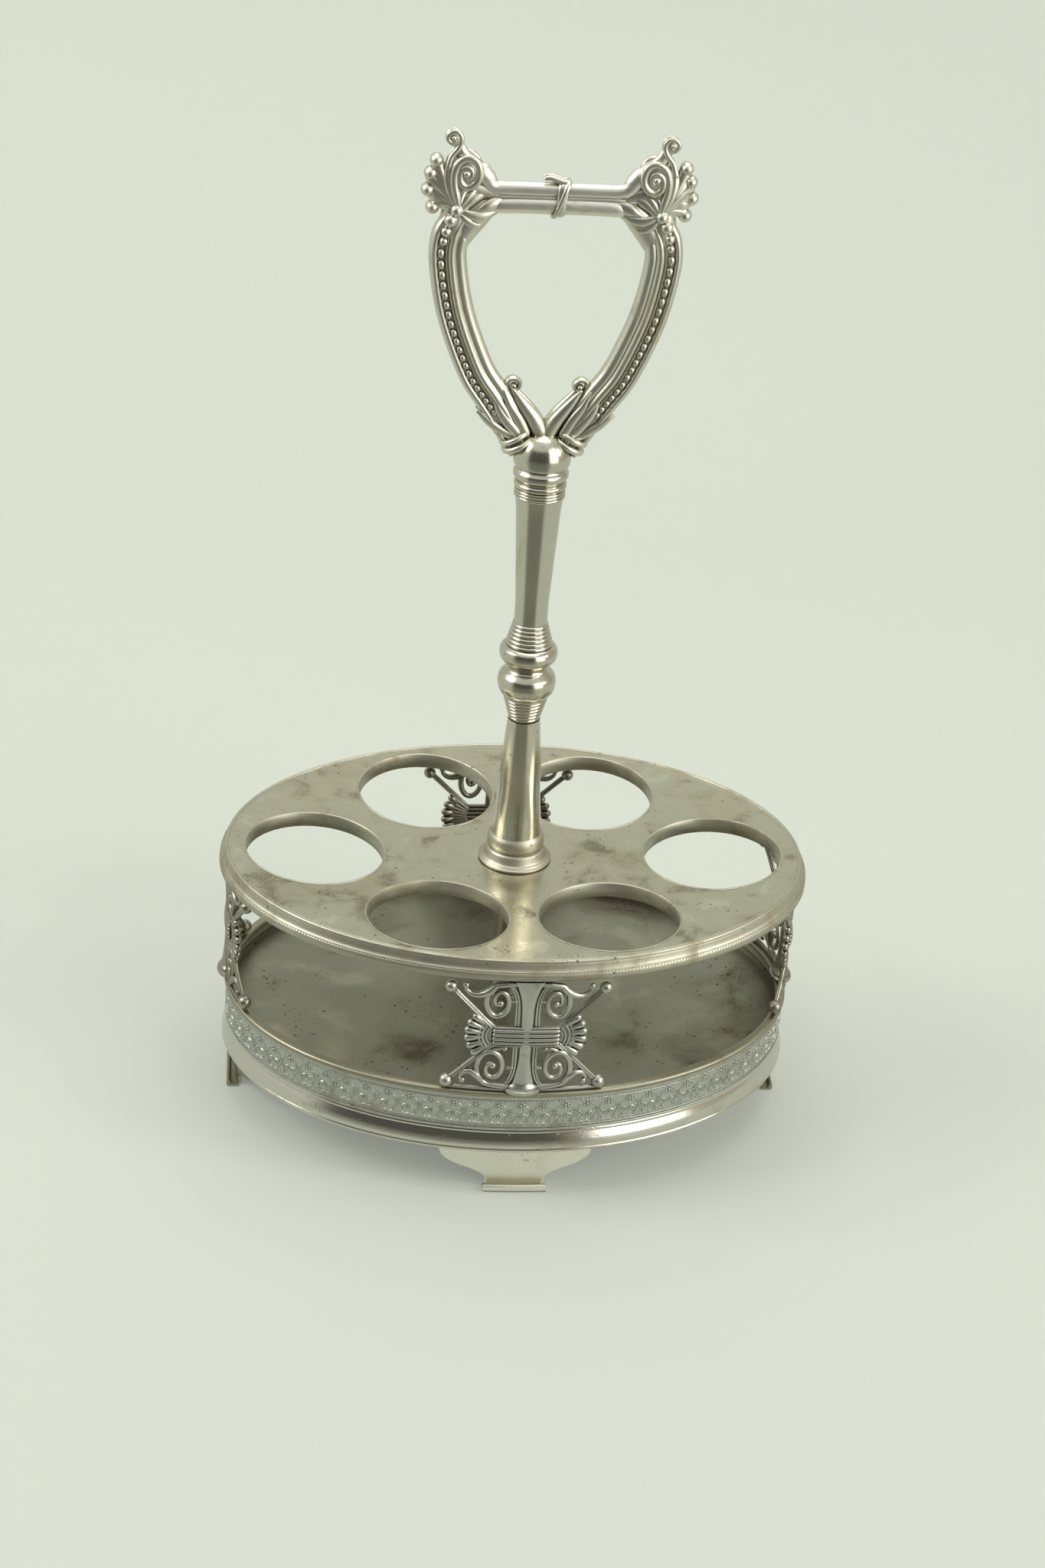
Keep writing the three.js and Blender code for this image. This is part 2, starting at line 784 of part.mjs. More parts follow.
function armSocket() {
  const boreTop = stem.domeRise + fixing.rodTopInDome + seam;
  const outline = [
    [0, boreTop],
    [boreRadius, boreTop],
    [boreRadius, 0],
    ...domeOutline(0),
  ].map(([r, z]) => new THREE.Vector2(r, z));
  return turn(outline, stemFacets, domeBottom);
}

// Handle

// Point of the loop's plane, as shares of its half width and of its height over the dome's centre
function loopPoint(side, acrossShare, upShare) {
  const x = side * acrossShare * handle.halfWidth;
  return new THREE.Vector3(x, 0, domeCentre + upShare * handle.loopHeight);
}

function armPath(side) {
  return new THREE.CatmullRomCurve3([
    [0.21, 0.045],
    [0.395, 0.172],
    [0.515, 0.245],
    [0.68, 0.345],
    [0.855, 0.516],
    [0.945, 0.645],
    [1, 0.79],
    [0.97, 0.925],
  ].map(([x, z]) => loopPoint(side, x, z)), false, 'centripetal');
}

// Half section of an arm, in shares of its half width outwards and half depth forwards: outer lip,
// bead channel, rib, roll and inner strip
const armRelief = [
  [1, 0.3],
  [0.86, 0.8],
  [0.64, 0.8],
  [0.58, 0.5],
  [0.16, 0.5],
  [0.1, 0.85],
  [-0.04, 0.8],
  [-0.16, 1],
  [-0.34, 0.95],
  [-0.46, 0.75],
  [-0.72, 0.85],
  [-1, 0.3],
];

// Plain outline that holds the same section, for the room that the arm takes in the corner casting
const armOutline = [[1, 0.35], [0.8, 1], [-0.65, 1], [-1, 0.35]];

function armSection(side, corners, swell) {
  const w = side * (handle.armWidth / 2 + swell);
  const d = handle.armDepth / 2 + swell;
  const face = corners.map(([x, y]) => new THREE.Vector2(y * d, x * w));
  const back = corners.map(([x, y]) => new THREE.Vector2(-y * d, x * w)).reverse();
  return new THREE.Shape([...face, ...back]);
}

function arm(side) {
  return sweep(armSection(side, armRelief, 0), armPath(side), 12);
}

function armRoom(side) {
  return sweep(armSection(side, armOutline, seam), armPath(side), 12);
}

// Round disc or ring across the arm, at a share of its length
function collar(path, share, radius, thickness) {
  const at = path.getPointAt(share);
  const along = path.getTangentAt(share);
  const disc = new THREE.CylinderGeometry(radius, radius, thickness, 12);
  const tilt = new THREE.Quaternion().setFromUnitVectors(new THREE.Vector3(0, 1, 0), along);
  return disc.applyQuaternion(tilt).translate(at.x, at.y, at.z);
}

function handleArm(side) {
  const path = armPath(side);
  const wide = handle.armWidth / 2;
  const curlEye = loopPoint(side, 0.3, 0.278);
  const curl = new THREE.CatmullRomCurve3([
    loopPoint(side, 0.2, 0.12),
    loopPoint(side, 0.22, 0.19),
    loopPoint(side, 0.36, 0.265),
  ]);
  const hook = new THREE.CatmullRomCurve3([
    loopPoint(side, 0.37, 0.08),
    loopPoint(side, 0.5, 0.13),
    loopPoint(side, 0.61, 0.175),
  ]);
  const casting = join([
    arm(side),
    collar(path, 0.012, wide + handle.collarReach, handle.collarWidth),
    collar(path, 0.04, wide, handle.collarWidth),
    sweep(regular(handle.huskRadius, 5), curl, 3),
    sweep(regular(handle.huskRadius, 5), hook, 2),
    new THREE.SphereGeometry(handle.curlRadius, 7, 4).translate(curlEye.x, 0, curlEye.z),
  ]);
  const seat = toSolid(turn([
    new THREE.Vector2(0, 0),
    ...domeOutline(seam).map(([r, z]) => new THREE.Vector2(r, z)),
  ], stemFacets, domeBottom));
  return toGeometry(casting.subtract(seat));
}

// Line of a bar: level in the middle, with both ends turned down or up
function barPath(height, sag, turned) {
  return new THREE.CatmullRomCurve3([
    [-0.74, turned],
    [-0.55, sag],
    [0, 0],
    [0.55, sag],
    [0.74, turned],
  ].map(([across, rise]) => new THREE.Vector3(across * handle.halfWidth, 0, height + rise)));
}

function lowerBar(swell = 0) {
  const path = barPath(barHeight, -handle.lowerBarSag, -handle.lowerBarDrop);
  return sweep(regular(handle.lowerBarRadius + swell, 8), path, 10);
}

function upperBar(swell = 0) {
  const height = barHeight + handle.lowerBarRadius + seam + handle.upperBarRadius;
  const path = barPath(height, handle.upperBarSag, handle.upperBarLift);
  return sweep(regular(handle.upperBarRadius + swell, 8), path, 10);
}

// Rounded outline that goes round both bars, drawn in Y and Z
function tieOutline(gap) {
  const low = handle.lowerBarRadius + gap;
  const high = handle.upperBarRadius + gap;
  const rise = handle.lowerBarRadius + seam + handle.upperBarRadius;
  const outline = new THREE.Shape();
  outline.moveTo(low, 0);
  outline.lineTo(high, rise);
  outline.absarc(0, rise, high, 0, Math.PI, false);
  outline.lineTo(-low, 0);
  outline.absarc(0, 0, low, Math.PI, 2 * Math.PI, false);
  return outline;
}

function barTie() {
  const slab = (gap, width) => new THREE.ExtrudeGeometry(tieOutline(gap), {
    depth: width,
    bevelEnabled: false,
    curveSegments: 4,
  }).translate(0, 0, -width / 2).rotateX(Math.PI / 2).rotateZ(Math.PI / 2).translate(0, 0, barHeight);
  const wrap = toSolid(slab(seam + handle.tieWall, handle.tieWidth));
  const wrapTop = barHeight + handle.lowerBarRadius + 2 * (seam + handle.upperBarRadius) + handle.tieWall;
  const knot = new THREE.CapsuleGeometry(handle.knotRadius, handle.knotLength, 3, 8)
    .rotateZ(Math.PI / 3)
    .translate(-handle.knotRadius, 0, wrapTop - seam);
  return toGeometry(wrap.add(toSolid(knot)).subtract(toSolid(slab(seam, 3 * handle.tieWidth))));
}

function cornerScroll(side) {
  const at = ([across, up]) => (
    new THREE.Vector3(side * across * handle.halfWidth, 0, barHeight + up * handle.halfWidth)
  );
  const line = (points) => new THREE.CatmullRomCurve3(points.map(at));
  const disc = ({ radius, depth, at: place }) => {
    const centre = at(place);
    return new THREE.CylinderGeometry(radius, radius, depth, 14).translate(centre.x, 0, centre.z);
  };
  const oval = ({ wide, deep }) => {
    const corners = regular(1, 10).getPoints();
    return new THREE.Shape(corners.map((c) => new THREE.Vector2(deep * c.x, wide * c.y)));
  };
  const { core, elbow, flare, stalk, leaf } = corner;
  const leaves = corner.lobes.map(([across, up]) => sweep(regular(leaf.radius, 5), line([
    leaf.root,
    [(leaf.root[0] + across) / 2, 0.7 * up],
    [across, up],
  ]), 2));
  const tips = corner.lobes.map((lobe) => {
    const centre = at(lobe);
    return new THREE.SphereGeometry(leaf.tipRadius, 7, 4).translate(centre.x, 0, centre.z);
  });
  const casting = join([
    sweep(oval(core), line(core.line), 4),
    sweep(oval(elbow), line(elbow.line), 4),
    sweep(oval(flare), line(flare.line), 2),
    disc(corner.disc),
    disc(corner.topScroll),
    sweep(regular(stalk.radius, 5), line(stalk.line), 5),
    ...leaves,
    ...tips,
  ]);
  return toGeometry(casting
    .subtract(toSolid(armRoom(side)))
    .subtract(toSolid(lowerBar(seam)))
    .subtract(toSolid(upperBar(seam))));
}

// Fixing

function tieRod() {
  const length = domeCentre + fixing.rodTopInDome - rodBottom();
  const rod = new THREE.CylinderGeometry(fixing.rodRadius, fixing.rodRadius, length, 12);
  return rod.rotateX(Math.PI / 2).translate(0, 0, rodBottom() + length / 2);
}

function washerTop() {
  return floorBottom - seam;
}

function nutTop() {
  return washerTop() - fixing.washerThickness - seam;
}

function rodBottom() {
  return nutTop() - fixing.nutHeight - fixing.rodTail;
}

function sleeveTube() {
  const inner = fixing.sleeveRadius - fixing.sleeveWall;
  const bottom = floorTop + fixing.bossRise + seam;
  const length = plateBottom - bottom - seam;
  const wall = [[inner, 0], [fixing.sleeveRadius, 0], [fixing.sleeveRadius, length], [inner, length]];
  return turn(closed(wall), stemFacets, bottom);
}

function washer() {
  const t = fixing.washerThickness;
  const ring = [[boreRadius, 0], [fixing.washerRadius, 0], [fixing.washerRadius, t], [boreRadius, t]];
  return turn(closed(ring), stemFacets, washerTop() - t);
}

function nut() {
  const hexagon = regular(fixing.nutFlats / Math.sqrt(3), 6);
  hexagon.holes.push(new THREE.Path(regular(boreRadius, 12).getPoints()));
  const block = new THREE.ExtrudeGeometry(hexagon, { depth: fixing.nutHeight, bevelEnabled: false });
  return block.translate(0, 0, nutTop() - fixing.nutHeight);
}

// Assembly

const stand = new THREE.Group();
stand.name = 'bottle_stand';

function place(name, geometry, finish) {
  const body = weld(geometry);
  body.computeVertexNormals();
  const piece = new THREE.Mesh(body, finish);
  piece.name = name;
  stand.add(piece);
}

const sides = [
  { name: 'front', angle: -Math.PI / 2, turned: 0, distance: base.halfWidth },
  { name: 'right', angle: 0, turned: Math.PI / 2, distance: base.halfLength },
  { name: 'back', angle: Math.PI / 2, turned: Math.PI, distance: base.halfWidth },
  { name: 'left', angle: Math.PI, turned: -Math.PI / 2, distance: base.halfLength },
];

place('floor_pan', floorPan(), finishes.stained);
place('gallery_band', galleryBand(), finishes.worn);
place('gallery_wire', galleryWire(), finishes.worn);
place('base_moulding', baseMoulding(), finishes.polished);
for (const { name, turned, distance } of sides) {
  place(`foot_${name}`, footPiece(turned, distance), finishes.worn);
}
for (const { name, angle } of sides) {
  place(`bracket_${name}`, bracketPiece(angle), finishes.oxidised);
}
place('top_plate', topPlate(), finishes.worn);
place('rim_moulding', rimMoulding(), finishes.polished);
holeCentres().forEach(([x, y], i) => {
  place(`hole_band_${i + 1}`, holeBand(x, y), finishes.worn);
});
place('sleeve_tube', sleeveTube(), finishes.stained);
place('stem_foot', stemFoot(), finishes.polished);
place('lower_tube', lowerTube(), finishes.polished);
place('lower_knop', lowerKnop(), finishes.polished);
place('upper_knop', upperKnop(), finishes.polished);
place('upper_tube', upperTube(), finishes.polished);
place('ferrule', ferrule(), finishes.polished);
place('arm_socket', armSocket(), finishes.polished);
place('handle_arm_left', handleArm(-1), finishes.polished);
place('handle_arm_right', handleArm(1), finishes.polished);
place('lower_bar', lowerBar(), finishes.polished);
place('upper_bar', upperBar(), finishes.polished);
place('bar_tie', barTie(), finishes.polished);
place('corner_scroll_left', cornerScroll(-1), finishes.polished);
place('corner_scroll_right', cornerScroll(1), finishes.polished);
place('tie_rod', tieRod(), finishes.steel);
place('washer', washer(), finishes.steel);
place('nut', nut(), finishes.steel);

export default stand;
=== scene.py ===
"""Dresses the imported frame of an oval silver-plated table stand for six bottles.

Every visible piece of the stand is modelled again in fine detail on its place in the frame,
gets its own plated finish, and rides on the stand's one body. Lengths are written in
millimetres and turned into metres where a mesh is made.
"""

import json
import logging
import math
from collections.abc import Callable, Iterable, Sequence
from dataclasses import dataclass, field
from enum import Enum
from typing import ClassVar

import bmesh
import bpy
from mathutils import Matrix, Vector

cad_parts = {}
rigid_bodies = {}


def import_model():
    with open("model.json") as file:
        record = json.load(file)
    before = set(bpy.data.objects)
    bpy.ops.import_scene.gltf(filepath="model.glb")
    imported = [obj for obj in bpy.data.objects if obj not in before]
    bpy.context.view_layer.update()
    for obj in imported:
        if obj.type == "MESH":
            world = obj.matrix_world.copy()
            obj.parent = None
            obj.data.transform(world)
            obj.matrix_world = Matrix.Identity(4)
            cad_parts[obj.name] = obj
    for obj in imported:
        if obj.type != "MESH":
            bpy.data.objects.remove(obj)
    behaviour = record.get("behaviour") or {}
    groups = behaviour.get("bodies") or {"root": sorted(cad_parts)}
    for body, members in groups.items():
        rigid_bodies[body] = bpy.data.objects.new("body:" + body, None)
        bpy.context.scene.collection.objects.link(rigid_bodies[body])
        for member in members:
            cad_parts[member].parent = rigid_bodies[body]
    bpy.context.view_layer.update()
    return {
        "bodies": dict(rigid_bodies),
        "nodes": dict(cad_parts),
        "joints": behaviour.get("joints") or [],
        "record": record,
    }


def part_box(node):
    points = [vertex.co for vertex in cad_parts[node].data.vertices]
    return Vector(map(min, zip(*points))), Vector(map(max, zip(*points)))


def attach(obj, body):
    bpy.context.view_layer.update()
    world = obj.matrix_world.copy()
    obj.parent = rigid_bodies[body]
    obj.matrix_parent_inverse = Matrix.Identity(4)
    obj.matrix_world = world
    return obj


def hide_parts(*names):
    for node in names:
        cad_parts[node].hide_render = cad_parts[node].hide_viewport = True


log = logging.getLogger("stand")

MM = 0.001
BODY = "root"

# Gap between two joined pieces in the frame, and radius of the hole for the rod
GAP = 0.3
BORE = 2.7

Point = tuple[float, float]
Profile = Sequence[Point]
Knot = tuple[float, float, float, float]
Colour = tuple[float, float, float]
Bend = Callable[[Vector], Vector]


# Materials


# Waves or cells per metre of the marks that every finish shares
FINE_WAVES = 1100.0
LARGE_PITS = 300.0
SMALL_PITS = 900.0
PIT_CROWDS = 60.0
SCRATCHES = 55.0
SCRATCH_CROWDS = 30.0
GRAIN_CELLS = 620.0
GRAIN_WAVES = 420.0

# Finer patches to a finish's broad ones, and the darkness of pits and of the hollows' tarnish and
# painted shade to its stains
PATCH_RATIO = 3.1
DARKNESS = 0.35

# Share of film and stain at which the clean metal is fully covered, and the depth of the marks
OPACITY = 0.85
MARK_DEPTH = 0.14 * MM


class Signal:
    """A socket of a material in the making; sums and products of signals add Math nodes."""

    def __init__(self, graph: "Graph", socket: bpy.types.NodeSocket) -> None:
        """Keep the graph that the socket belongs to."""
        self.graph = graph
        self.socket = socket

    def _math(self, operation: str, first: "Signal | float", second: "Signal | float") -> "Signal":
        """Return the result of one Math node on two values or signals."""
        return self.graph.node("ShaderNodeMath", {"operation": operation}, {0: first, 1: second})

    def __add__(self, other: "Signal | float") -> "Signal":
        """Return the sum."""
        return self._math("ADD", self, other)

    __radd__ = __add__

    def __sub__(self, other: "Signal | float") -> "Signal":
        """Return the difference."""
        return self._math("SUBTRACT", self, other)

    def __rsub__(self, other: float) -> "Signal":
        """Return a number less this signal."""
        return self._math("SUBTRACT", other, self)

    def __mul__(self, other: "Signal | float") -> "Signal":
        """Return the product."""
        return self._math("MULTIPLY", self, other)

    __rmul__ = __mul__

    def step(self, low: float, high: float) -> "Signal":
        """Rise smoothly from 0 at low to 1 at high, or fall where low is above high.

        Args:
            low: Value that gives 0.
            high: Value that gives 1.

        Returns:
            The smooth step as a signal.
        """
        inputs = {0: self, 1: low, 2: high}
        if low > high:
            inputs = {0: self, 1: high, 2: low, 3: 1.0, 4: 0.0}
        return self.graph.node("ShaderNodeMapRange", {"interpolation_type": "SMOOTHSTEP"}, inputs)


class Graph:
    """The node tree of one material or world."""

    def __init__(self, owner: bpy.types.Material | bpy.types.World) -> None:
        """Empty the owner's node tree and keep it."""
        owner.use_nodes = True
        self.tree = owner.node_tree
        self.tree.nodes.clear()

    def node(
        self, kind: str, settings: dict[str, object] | None = None,
        inputs: dict[int | str, object] | None = None, output: int | str | None = 0,
    ) -> Signal | None:
        """Add a node, set it up and link it.

        Args:
            kind: Blender's type name of the node.
            settings: Properties, which are set before the sockets.
            inputs: Values or signals by socket index or name.
            output: Index or name of the socket that is wanted, or None for a node with none.

        Returns:
            That socket as a signal.
        """
        made = self.tree.nodes.new(kind)
        for name, value in (settings or {}).items():
            setattr(made, name, value)
        for key, value in (inputs or {}).items():
            if isinstance(value, Signal):
                self.tree.links.new(value.socket, made.inputs[key])
            elif isinstance(value, tuple) and len(value) == 3 and made.inputs[key].type == "RGBA":
                made.inputs[key].default_value = (*value, 1.0)
            else:
                made.inputs[key].default_value = value
        return None if output is None else Signal(self, made.outputs[output])

    def place(self, scale: Sequence[float] = (1.0, 1.0, 1.0)) -> Signal:
        """Return the piece's own coordinates in metres, stretched by a scale."""
        own = self.node("ShaderNodeTexCoord", output="Object")
        return self.node("ShaderNodeMapping", None, {"Vector": own, "Scale": tuple(scale)})

    def noise(
        self, scale: float, detail: float = 3.0, stretch: Sequence[float] = (1, 1, 1),
        twist: float = 0.0,
    ) -> Signal:
        """Return smooth noise.

        Args:
            scale: Waves per metre.
            detail: Octaves of finer noise.
            stretch: Scale of the coordinates along X, Y and Z.
            twist: How much its lines are distorted.

        Returns:
            The noise as a signal about 0.5.
        """
        inputs = {
            "Vector": self.place(stretch), "Scale": scale, "Detail": detail, "Distortion": twist,
        }
        return self.node("ShaderNodeTexNoise", None, inputs)

    def cells(self, scale: float) -> Signal:
        """Return the distance to the nearest of scattered points, with that many per metre."""
        return self.node("ShaderNodeTexVoronoi", None, {"Vector": self.place(), "Scale": scale})

    def mix(self, share: Signal, first: object, second: object) -> Signal:
        """Return a mix of two colours or signals, from the first at 0 to the second at 1."""
        inputs = {"Factor": share, 6: first, 7: second}
        return self.node("ShaderNodeMix", {"data_type": "RGBA"}, inputs, output=2)

    def vector(self, operation: str, *inputs: object, output: int | str = 0) -> Signal:
        """Return the result of a Vector Math node on values or signals."""
        settings = {"operation": operation}
        return self.node("ShaderNodeVectorMath", settings, dict(enumerate(inputs)), output)

    def blend(self, share: Signal, first: Signal, second: Signal) -> Signal:
        """Return a shader that passes from a first to a second one."""
        return self.node("ShaderNodeMixShader", None, {0: share, 1: first, 2: second})

    def ray(self, kind: str) -> Signal:
        """Return 1 for light rays of one kind, such as Is Camera Ray, and 0 for others."""
        return self.node("ShaderNodeLightPath", output=kind)

    def surface(self, shader: Signal, kind: str = "ShaderNodeOutputMaterial") -> None:
        """Link the finished shader to an output node of that kind."""
        self.node(kind, None, {"Surface": shader}, output=None)


@dataclass(frozen=True)
class Plating:
    """One finish of old silver plate, from clean metal to its stains and marks, and the tarnish and
    painted shade in its hollows.
    """

    slot: str
    metal: Colour
    film: Colour
    stain: Colour
    roughness: float
    film_cover: float = 0.5
    stain_cover: float = 0.2
    patch_scale: float = 34.0
    pitting: float = 0.3
    scratching: float = 0.3
    recess: float = 0.0
    recess_reach: float = 1.6
    dents: float = 0.0
    grain: float = 0.0
    bare: Colour = (0.72, 0.7, 0.6)
    bareness: float = 0.0

    def material(self, name: str) -> bpy.types.Material:
        """Build the finish as a material.

        Args:
            name: Name of the new material.

        Returns:
            The material.
        """
        made = bpy.data.materials.new(name)
        graph = Graph(made)
        broad = graph.noise(self.patch_scale, 5.0, twist=0.8)
        patches = graph.noise(PATCH_RATIO * self.patch_scale, 8.0, twist=0.5)
        fine = graph.noise(FINE_WAVES, 5.0)
        cover = broad * 0.65 + patches * 0.35
        film = cover.step(0.66 - 0.28 * self.film_cover, 0.74 - 0.2 * self.film_cover)
        spread = patches * 0.55 + broad * 0.3 + fine * 0.15
        stain = spread.step(0.7 - 0.28 * self.stain_cover, 0.76 - 0.2 * self.stain_cover)
        bare = (1.0 - broad * 0.5 - patches * 0.5).step(0.55, 0.66)
        pits = self._pits(graph)
        colour = graph.mix(film * OPACITY, self.metal, self.film)
        colour = graph.mix(bare * self.bareness, colour, self.bare)
        colour = graph.mix(stain * OPACITY, colour, self.stain)
        colour = self._darkened(graph, colour, pits)
        rough = self.roughness * (0.7 + broad * 0.5) + film * (0.25 * self.roughness) + stain * 0.14
        height = fine * 0.3 - pits * self.pitting - self._scratch(graph) * self.scratching
        height = height + patches * self.dents
        if self.grain > 0:
            height = height + graph.cells(GRAIN_CELLS) * self.grain
            height = height + graph.noise(GRAIN_WAVES, 4.0) * self.grain
        inputs = {"Strength": 0.3, "Distance": MARK_DEPTH, "Height": height}
        inputs = {
            "Base Color": colour, "Metallic": 1.0, "Roughness": rough + pits * 0.2,
            "Normal": graph.node("ShaderNodeBump", None, inputs),
        }
        graph.surface(graph.node("ShaderNodeBsdfPrincipled", None, inputs))
        return made

    def _pits(self, graph: Graph) -> Signal:
        """Return 1 in the pits, large and small, which stand in crowds.

        Args:
            graph: Node tree that takes the nodes.

        Returns:
            The share of pits.
        """
        crowd = graph.noise(PIT_CROWDS, 3.0, twist=1.0).step(0.5, 0.62)
        large = graph.cells(LARGE_PITS).step(0.22, 0.08) * crowd
        return large + graph.cells(SMALL_PITS).step(0.3, 0.12) * crowd * 0.6

    def _scratch(self, graph: Graph) -> Signal:
        """Return 1 in fine scratches that run along the stand."""
        lines = graph.noise(SCRATCHES, 2.0, (1.0, 22.0, 9.0)).step(0.64, 0.7)
        return lines * graph.noise(SCRATCH_CROWDS, 1.0).step(0.42, 0.6)

    def _darkened(self, graph: Graph, colour: Signal, pits: Signal) -> Signal:
        """Return the colour with the pits darkened and, where the finish has them, the hollows
        darkened as tarnish and painted shade.

        Args:
            graph: Node tree that takes the nodes.
            colour: The colour so far.
            pits: The pits.

        Returns:
            The darkened colour.
        """
        dark = tuple(DARKNESS * part for part in self.stain)
        colour = graph.mix(pits * self.pitting, colour, dark)
        if self.recess <= 0:
            return colour
        # Ambient occlusion darkens the colour in hollows: partly tarnish, partly painted shade
        # where less light falls
        inputs = {"Distance": self.recess_reach * MM}
        open_sky = graph.node("ShaderNodeAmbientOcclusion", {"samples": 8}, inputs, output="AO")
        return graph.mix(open_sky.step(0.9, 0.4) * self.recess, colour, dark)


class Finish(Enum):
    """The finishes that the stand's pieces have."""

    POLISHED = Plating(
        slot="silver_polished", metal=(0.63, 0.6, 0.49), film=(0.52, 0.47, 0.34),
        stain=(0.26, 0.21, 0.13), roughness=0.2, film_cover=0.5, stain_cover=0.12, pitting=0.3,
        recess=0.6, bareness=0.3,
    )
    # Matte olive silver of the wire; the side feet also take it as a darker copy of FOOT, as
    # painted shade
    EDGE = Plating(
        slot="silver_worn", metal=(0.36, 0.34, 0.25), film=(0.3, 0.27, 0.19),
        stain=(0.16, 0.13, 0.08), roughness=0.46, film_cover=0.5, stain_cover=0.12, pitting=0.3,
        bare=(0.46, 0.44, 0.35), bareness=0.3,
    )
    SWELLING = Plating(
        slot="silver_polished", metal=(0.68, 0.66, 0.57), film=(0.57, 0.53, 0.42),
        stain=(0.28, 0.24, 0.17), roughness=0.16, film_cover=0.4, stain_cover=0.05, recess=0.6,
    )
    WORN = Plating(
        slot="silver_worn", metal=(0.6, 0.57, 0.45), film=(0.46, 0.42, 0.31),
        stain=(0.22, 0.19, 0.13), roughness=0.3, film_cover=0.66, stain_cover=0.6, patch_scale=28.0,
        pitting=0.8, scratching=0.4, dents=0.5, bare=(0.76, 0.74, 0.62), bareness=0.8,
    )
    RIM = Plating(
        slot="silver_polished", metal=(0.5, 0.48, 0.38), film=(0.38, 0.34, 0.24),
        stain=(0.18, 0.15, 0.09), roughness=0.48, film_cover=0.6, stain_cover=0.25,
        patch_scale=40.0, pitting=0.6, recess=0.85, recess_reach=2.0, bare=(0.58, 0.56, 0.46),
        bareness=0.6,
    )
    # Broad mottled stains and bare patches of the floor pan: partly real staining, partly painted
    # shadows and reflections
    FLOOR = Plating(
        slot="silver_stained", metal=(0.335, 0.325, 0.255), film=(0.2, 0.185, 0.13),
        stain=(0.08, 0.07, 0.045), roughness=0.4, film_cover=0.65, stain_cover=0.55,
        patch_scale=13.0, pitting=0.85, dents=0.6, bare=(0.5, 0.47, 0.36), bareness=0.85,
    )
    BAND = Plating(
        slot="silver_worn", metal=(0.54, 0.55, 0.48), film=(0.43, 0.42, 0.34),
        stain=(0.18, 0.17, 0.12), roughness=0.48, pitting=0.3, recess=0.9, recess_reach=1.2,
        grain=3.2, bare=(0.5, 0.51, 0.45), bareness=0.5,
    )
    CAST = Plating(
        slot="silver_oxidised", metal=(0.54, 0.54, 0.47), film=(0.4, 0.4, 0.34),
        stain=(0.15, 0.14, 0.11), roughness=0.36, film_cover=0.6, patch_scale=70.0, pitting=0.2,
        recess=0.97, recess_reach=3.0, bare=(0.58, 0.58, 0.52), bareness=0.4,
    )
    # Darker copy of CAST for the side and back brackets: painted shade
    SHADED = Plating(
        slot="silver_oxidised", metal=(0.38, 0.36, 0.29), film=(0.26, 0.24, 0.18),
        stain=(0.09, 0.08, 0.055), roughness=0.34, film_cover=0.6, stain_cover=0.35,
        patch_scale=70.0, pitting=0.3, recess=0.97, recess_reach=3.0,
    )
    BRIGHT = Plating(
        slot="silver_polished", metal=(0.84, 0.82, 0.73), film=(0.7, 0.64, 0.5),
        stain=(0.34, 0.26, 0.16), roughness=0.4, film_cover=0.45, patch_scale=60.0, pitting=0.1,
        recess=0.5, recess_reach=1.2,
    )
    ORNAMENT = Plating(
        slot="silver_polished", metal=(0.72, 0.7, 0.59), film=(0.6, 0.56, 0.43),
        stain=(0.32, 0.27, 0.18), roughness=0.38, film_cover=0.5, patch_scale=60.0, pitting=0.1,
        recess=0.4, recess_reach=1.2, bareness=0.4,
    )
    FOOT = Plating(
        slot="silver_worn", metal=(0.88, 0.86, 0.74), film=(0.8, 0.76, 0.62),
        stain=(0.4, 0.34, 0.24), roughness=0.45, film_cover=0.5, stain_cover=0.12, pitting=0.35,
        recess=0.9,
    )
    STEEL = Plating(
        slot="fixing_steel", metal=(0.36, 0.34, 0.3), film=(0.3, 0.26, 0.2),
        stain=(0.14, 0.1, 0.06), roughness=0.42, pitting=0.4, recess=0.7,
    )


class Wardrobe:
    """The materials, each made once and shared by the pieces that have its finish."""

    def __init__(self) -> None:
        """Start with no material made."""
        self.made: dict[Finish, bpy.types.Material] = {}

    def of(self, finish: Finish) -> bpy.types.Material:
        """Return the finish's material, made at its first use."""
        if finish not in self.made:
            self.made[finish] = finish.value.material(f"silver_{finish.name.lower()}")
        return self.made[finish]


WARDROBE = Wardrobe()


# Geometry


def arc(centre: Point, radius: float, start: float, end: float, count: int) -> list[Point]:
    """Return points on an arc.

    Args:
        centre: Its centre.
        radius: Its radius.
        start: Angle of the first point in degrees, anticlockwise from the first axis.
        end: Angle of the last point in degrees.
        count: Steps between them.

    Returns:
        The points, both ends included.
    """
    x, y = centre
    turns = [math.radians(start + (end - start) * i / count) for i in range(count + 1)]
    return [(x + radius * math.cos(turn), y + radius * math.sin(turn)) for turn in turns]


def spline(points: Sequence[Sequence[float]], steps: int) -> list[Vector]:
    """Return a smooth line through points, as a Catmull-Rom curve.

    Args:
        points: The points, of any one dimension.
        steps: Steps between two neighbouring points.

    Returns:
        The line's points, both ends included.
    """
    knots = [Vector(point) for point in points]
    knots = [2 * knots[0] - knots[1], *knots, 2 * knots[-1] - knots[-2]]
    line = []
    for a, b, c, d in zip(knots, knots[1:], knots[2:], knots[3:]):
        slope, pull, twist = c - a, 2 * a - 5 * b + 4 * c - d, 3 * b - a - 3 * c + d
        for step in range(steps):
            t = step / steps
            line.append(0.5 * ((2 * b) + slope * t + pull * t**2 + twist * t**3))
    line.append(knots[-2].copy())
    return line


def headings(path: Sequence[Vector]) -> list[Vector]:
    """Return the direction of a line at each of its points."""
    last = len(path) - 1
    return [(path[min(i + 1, last)] - path[max(i - 1, 0)]).normalized() for i in range(last + 1)]


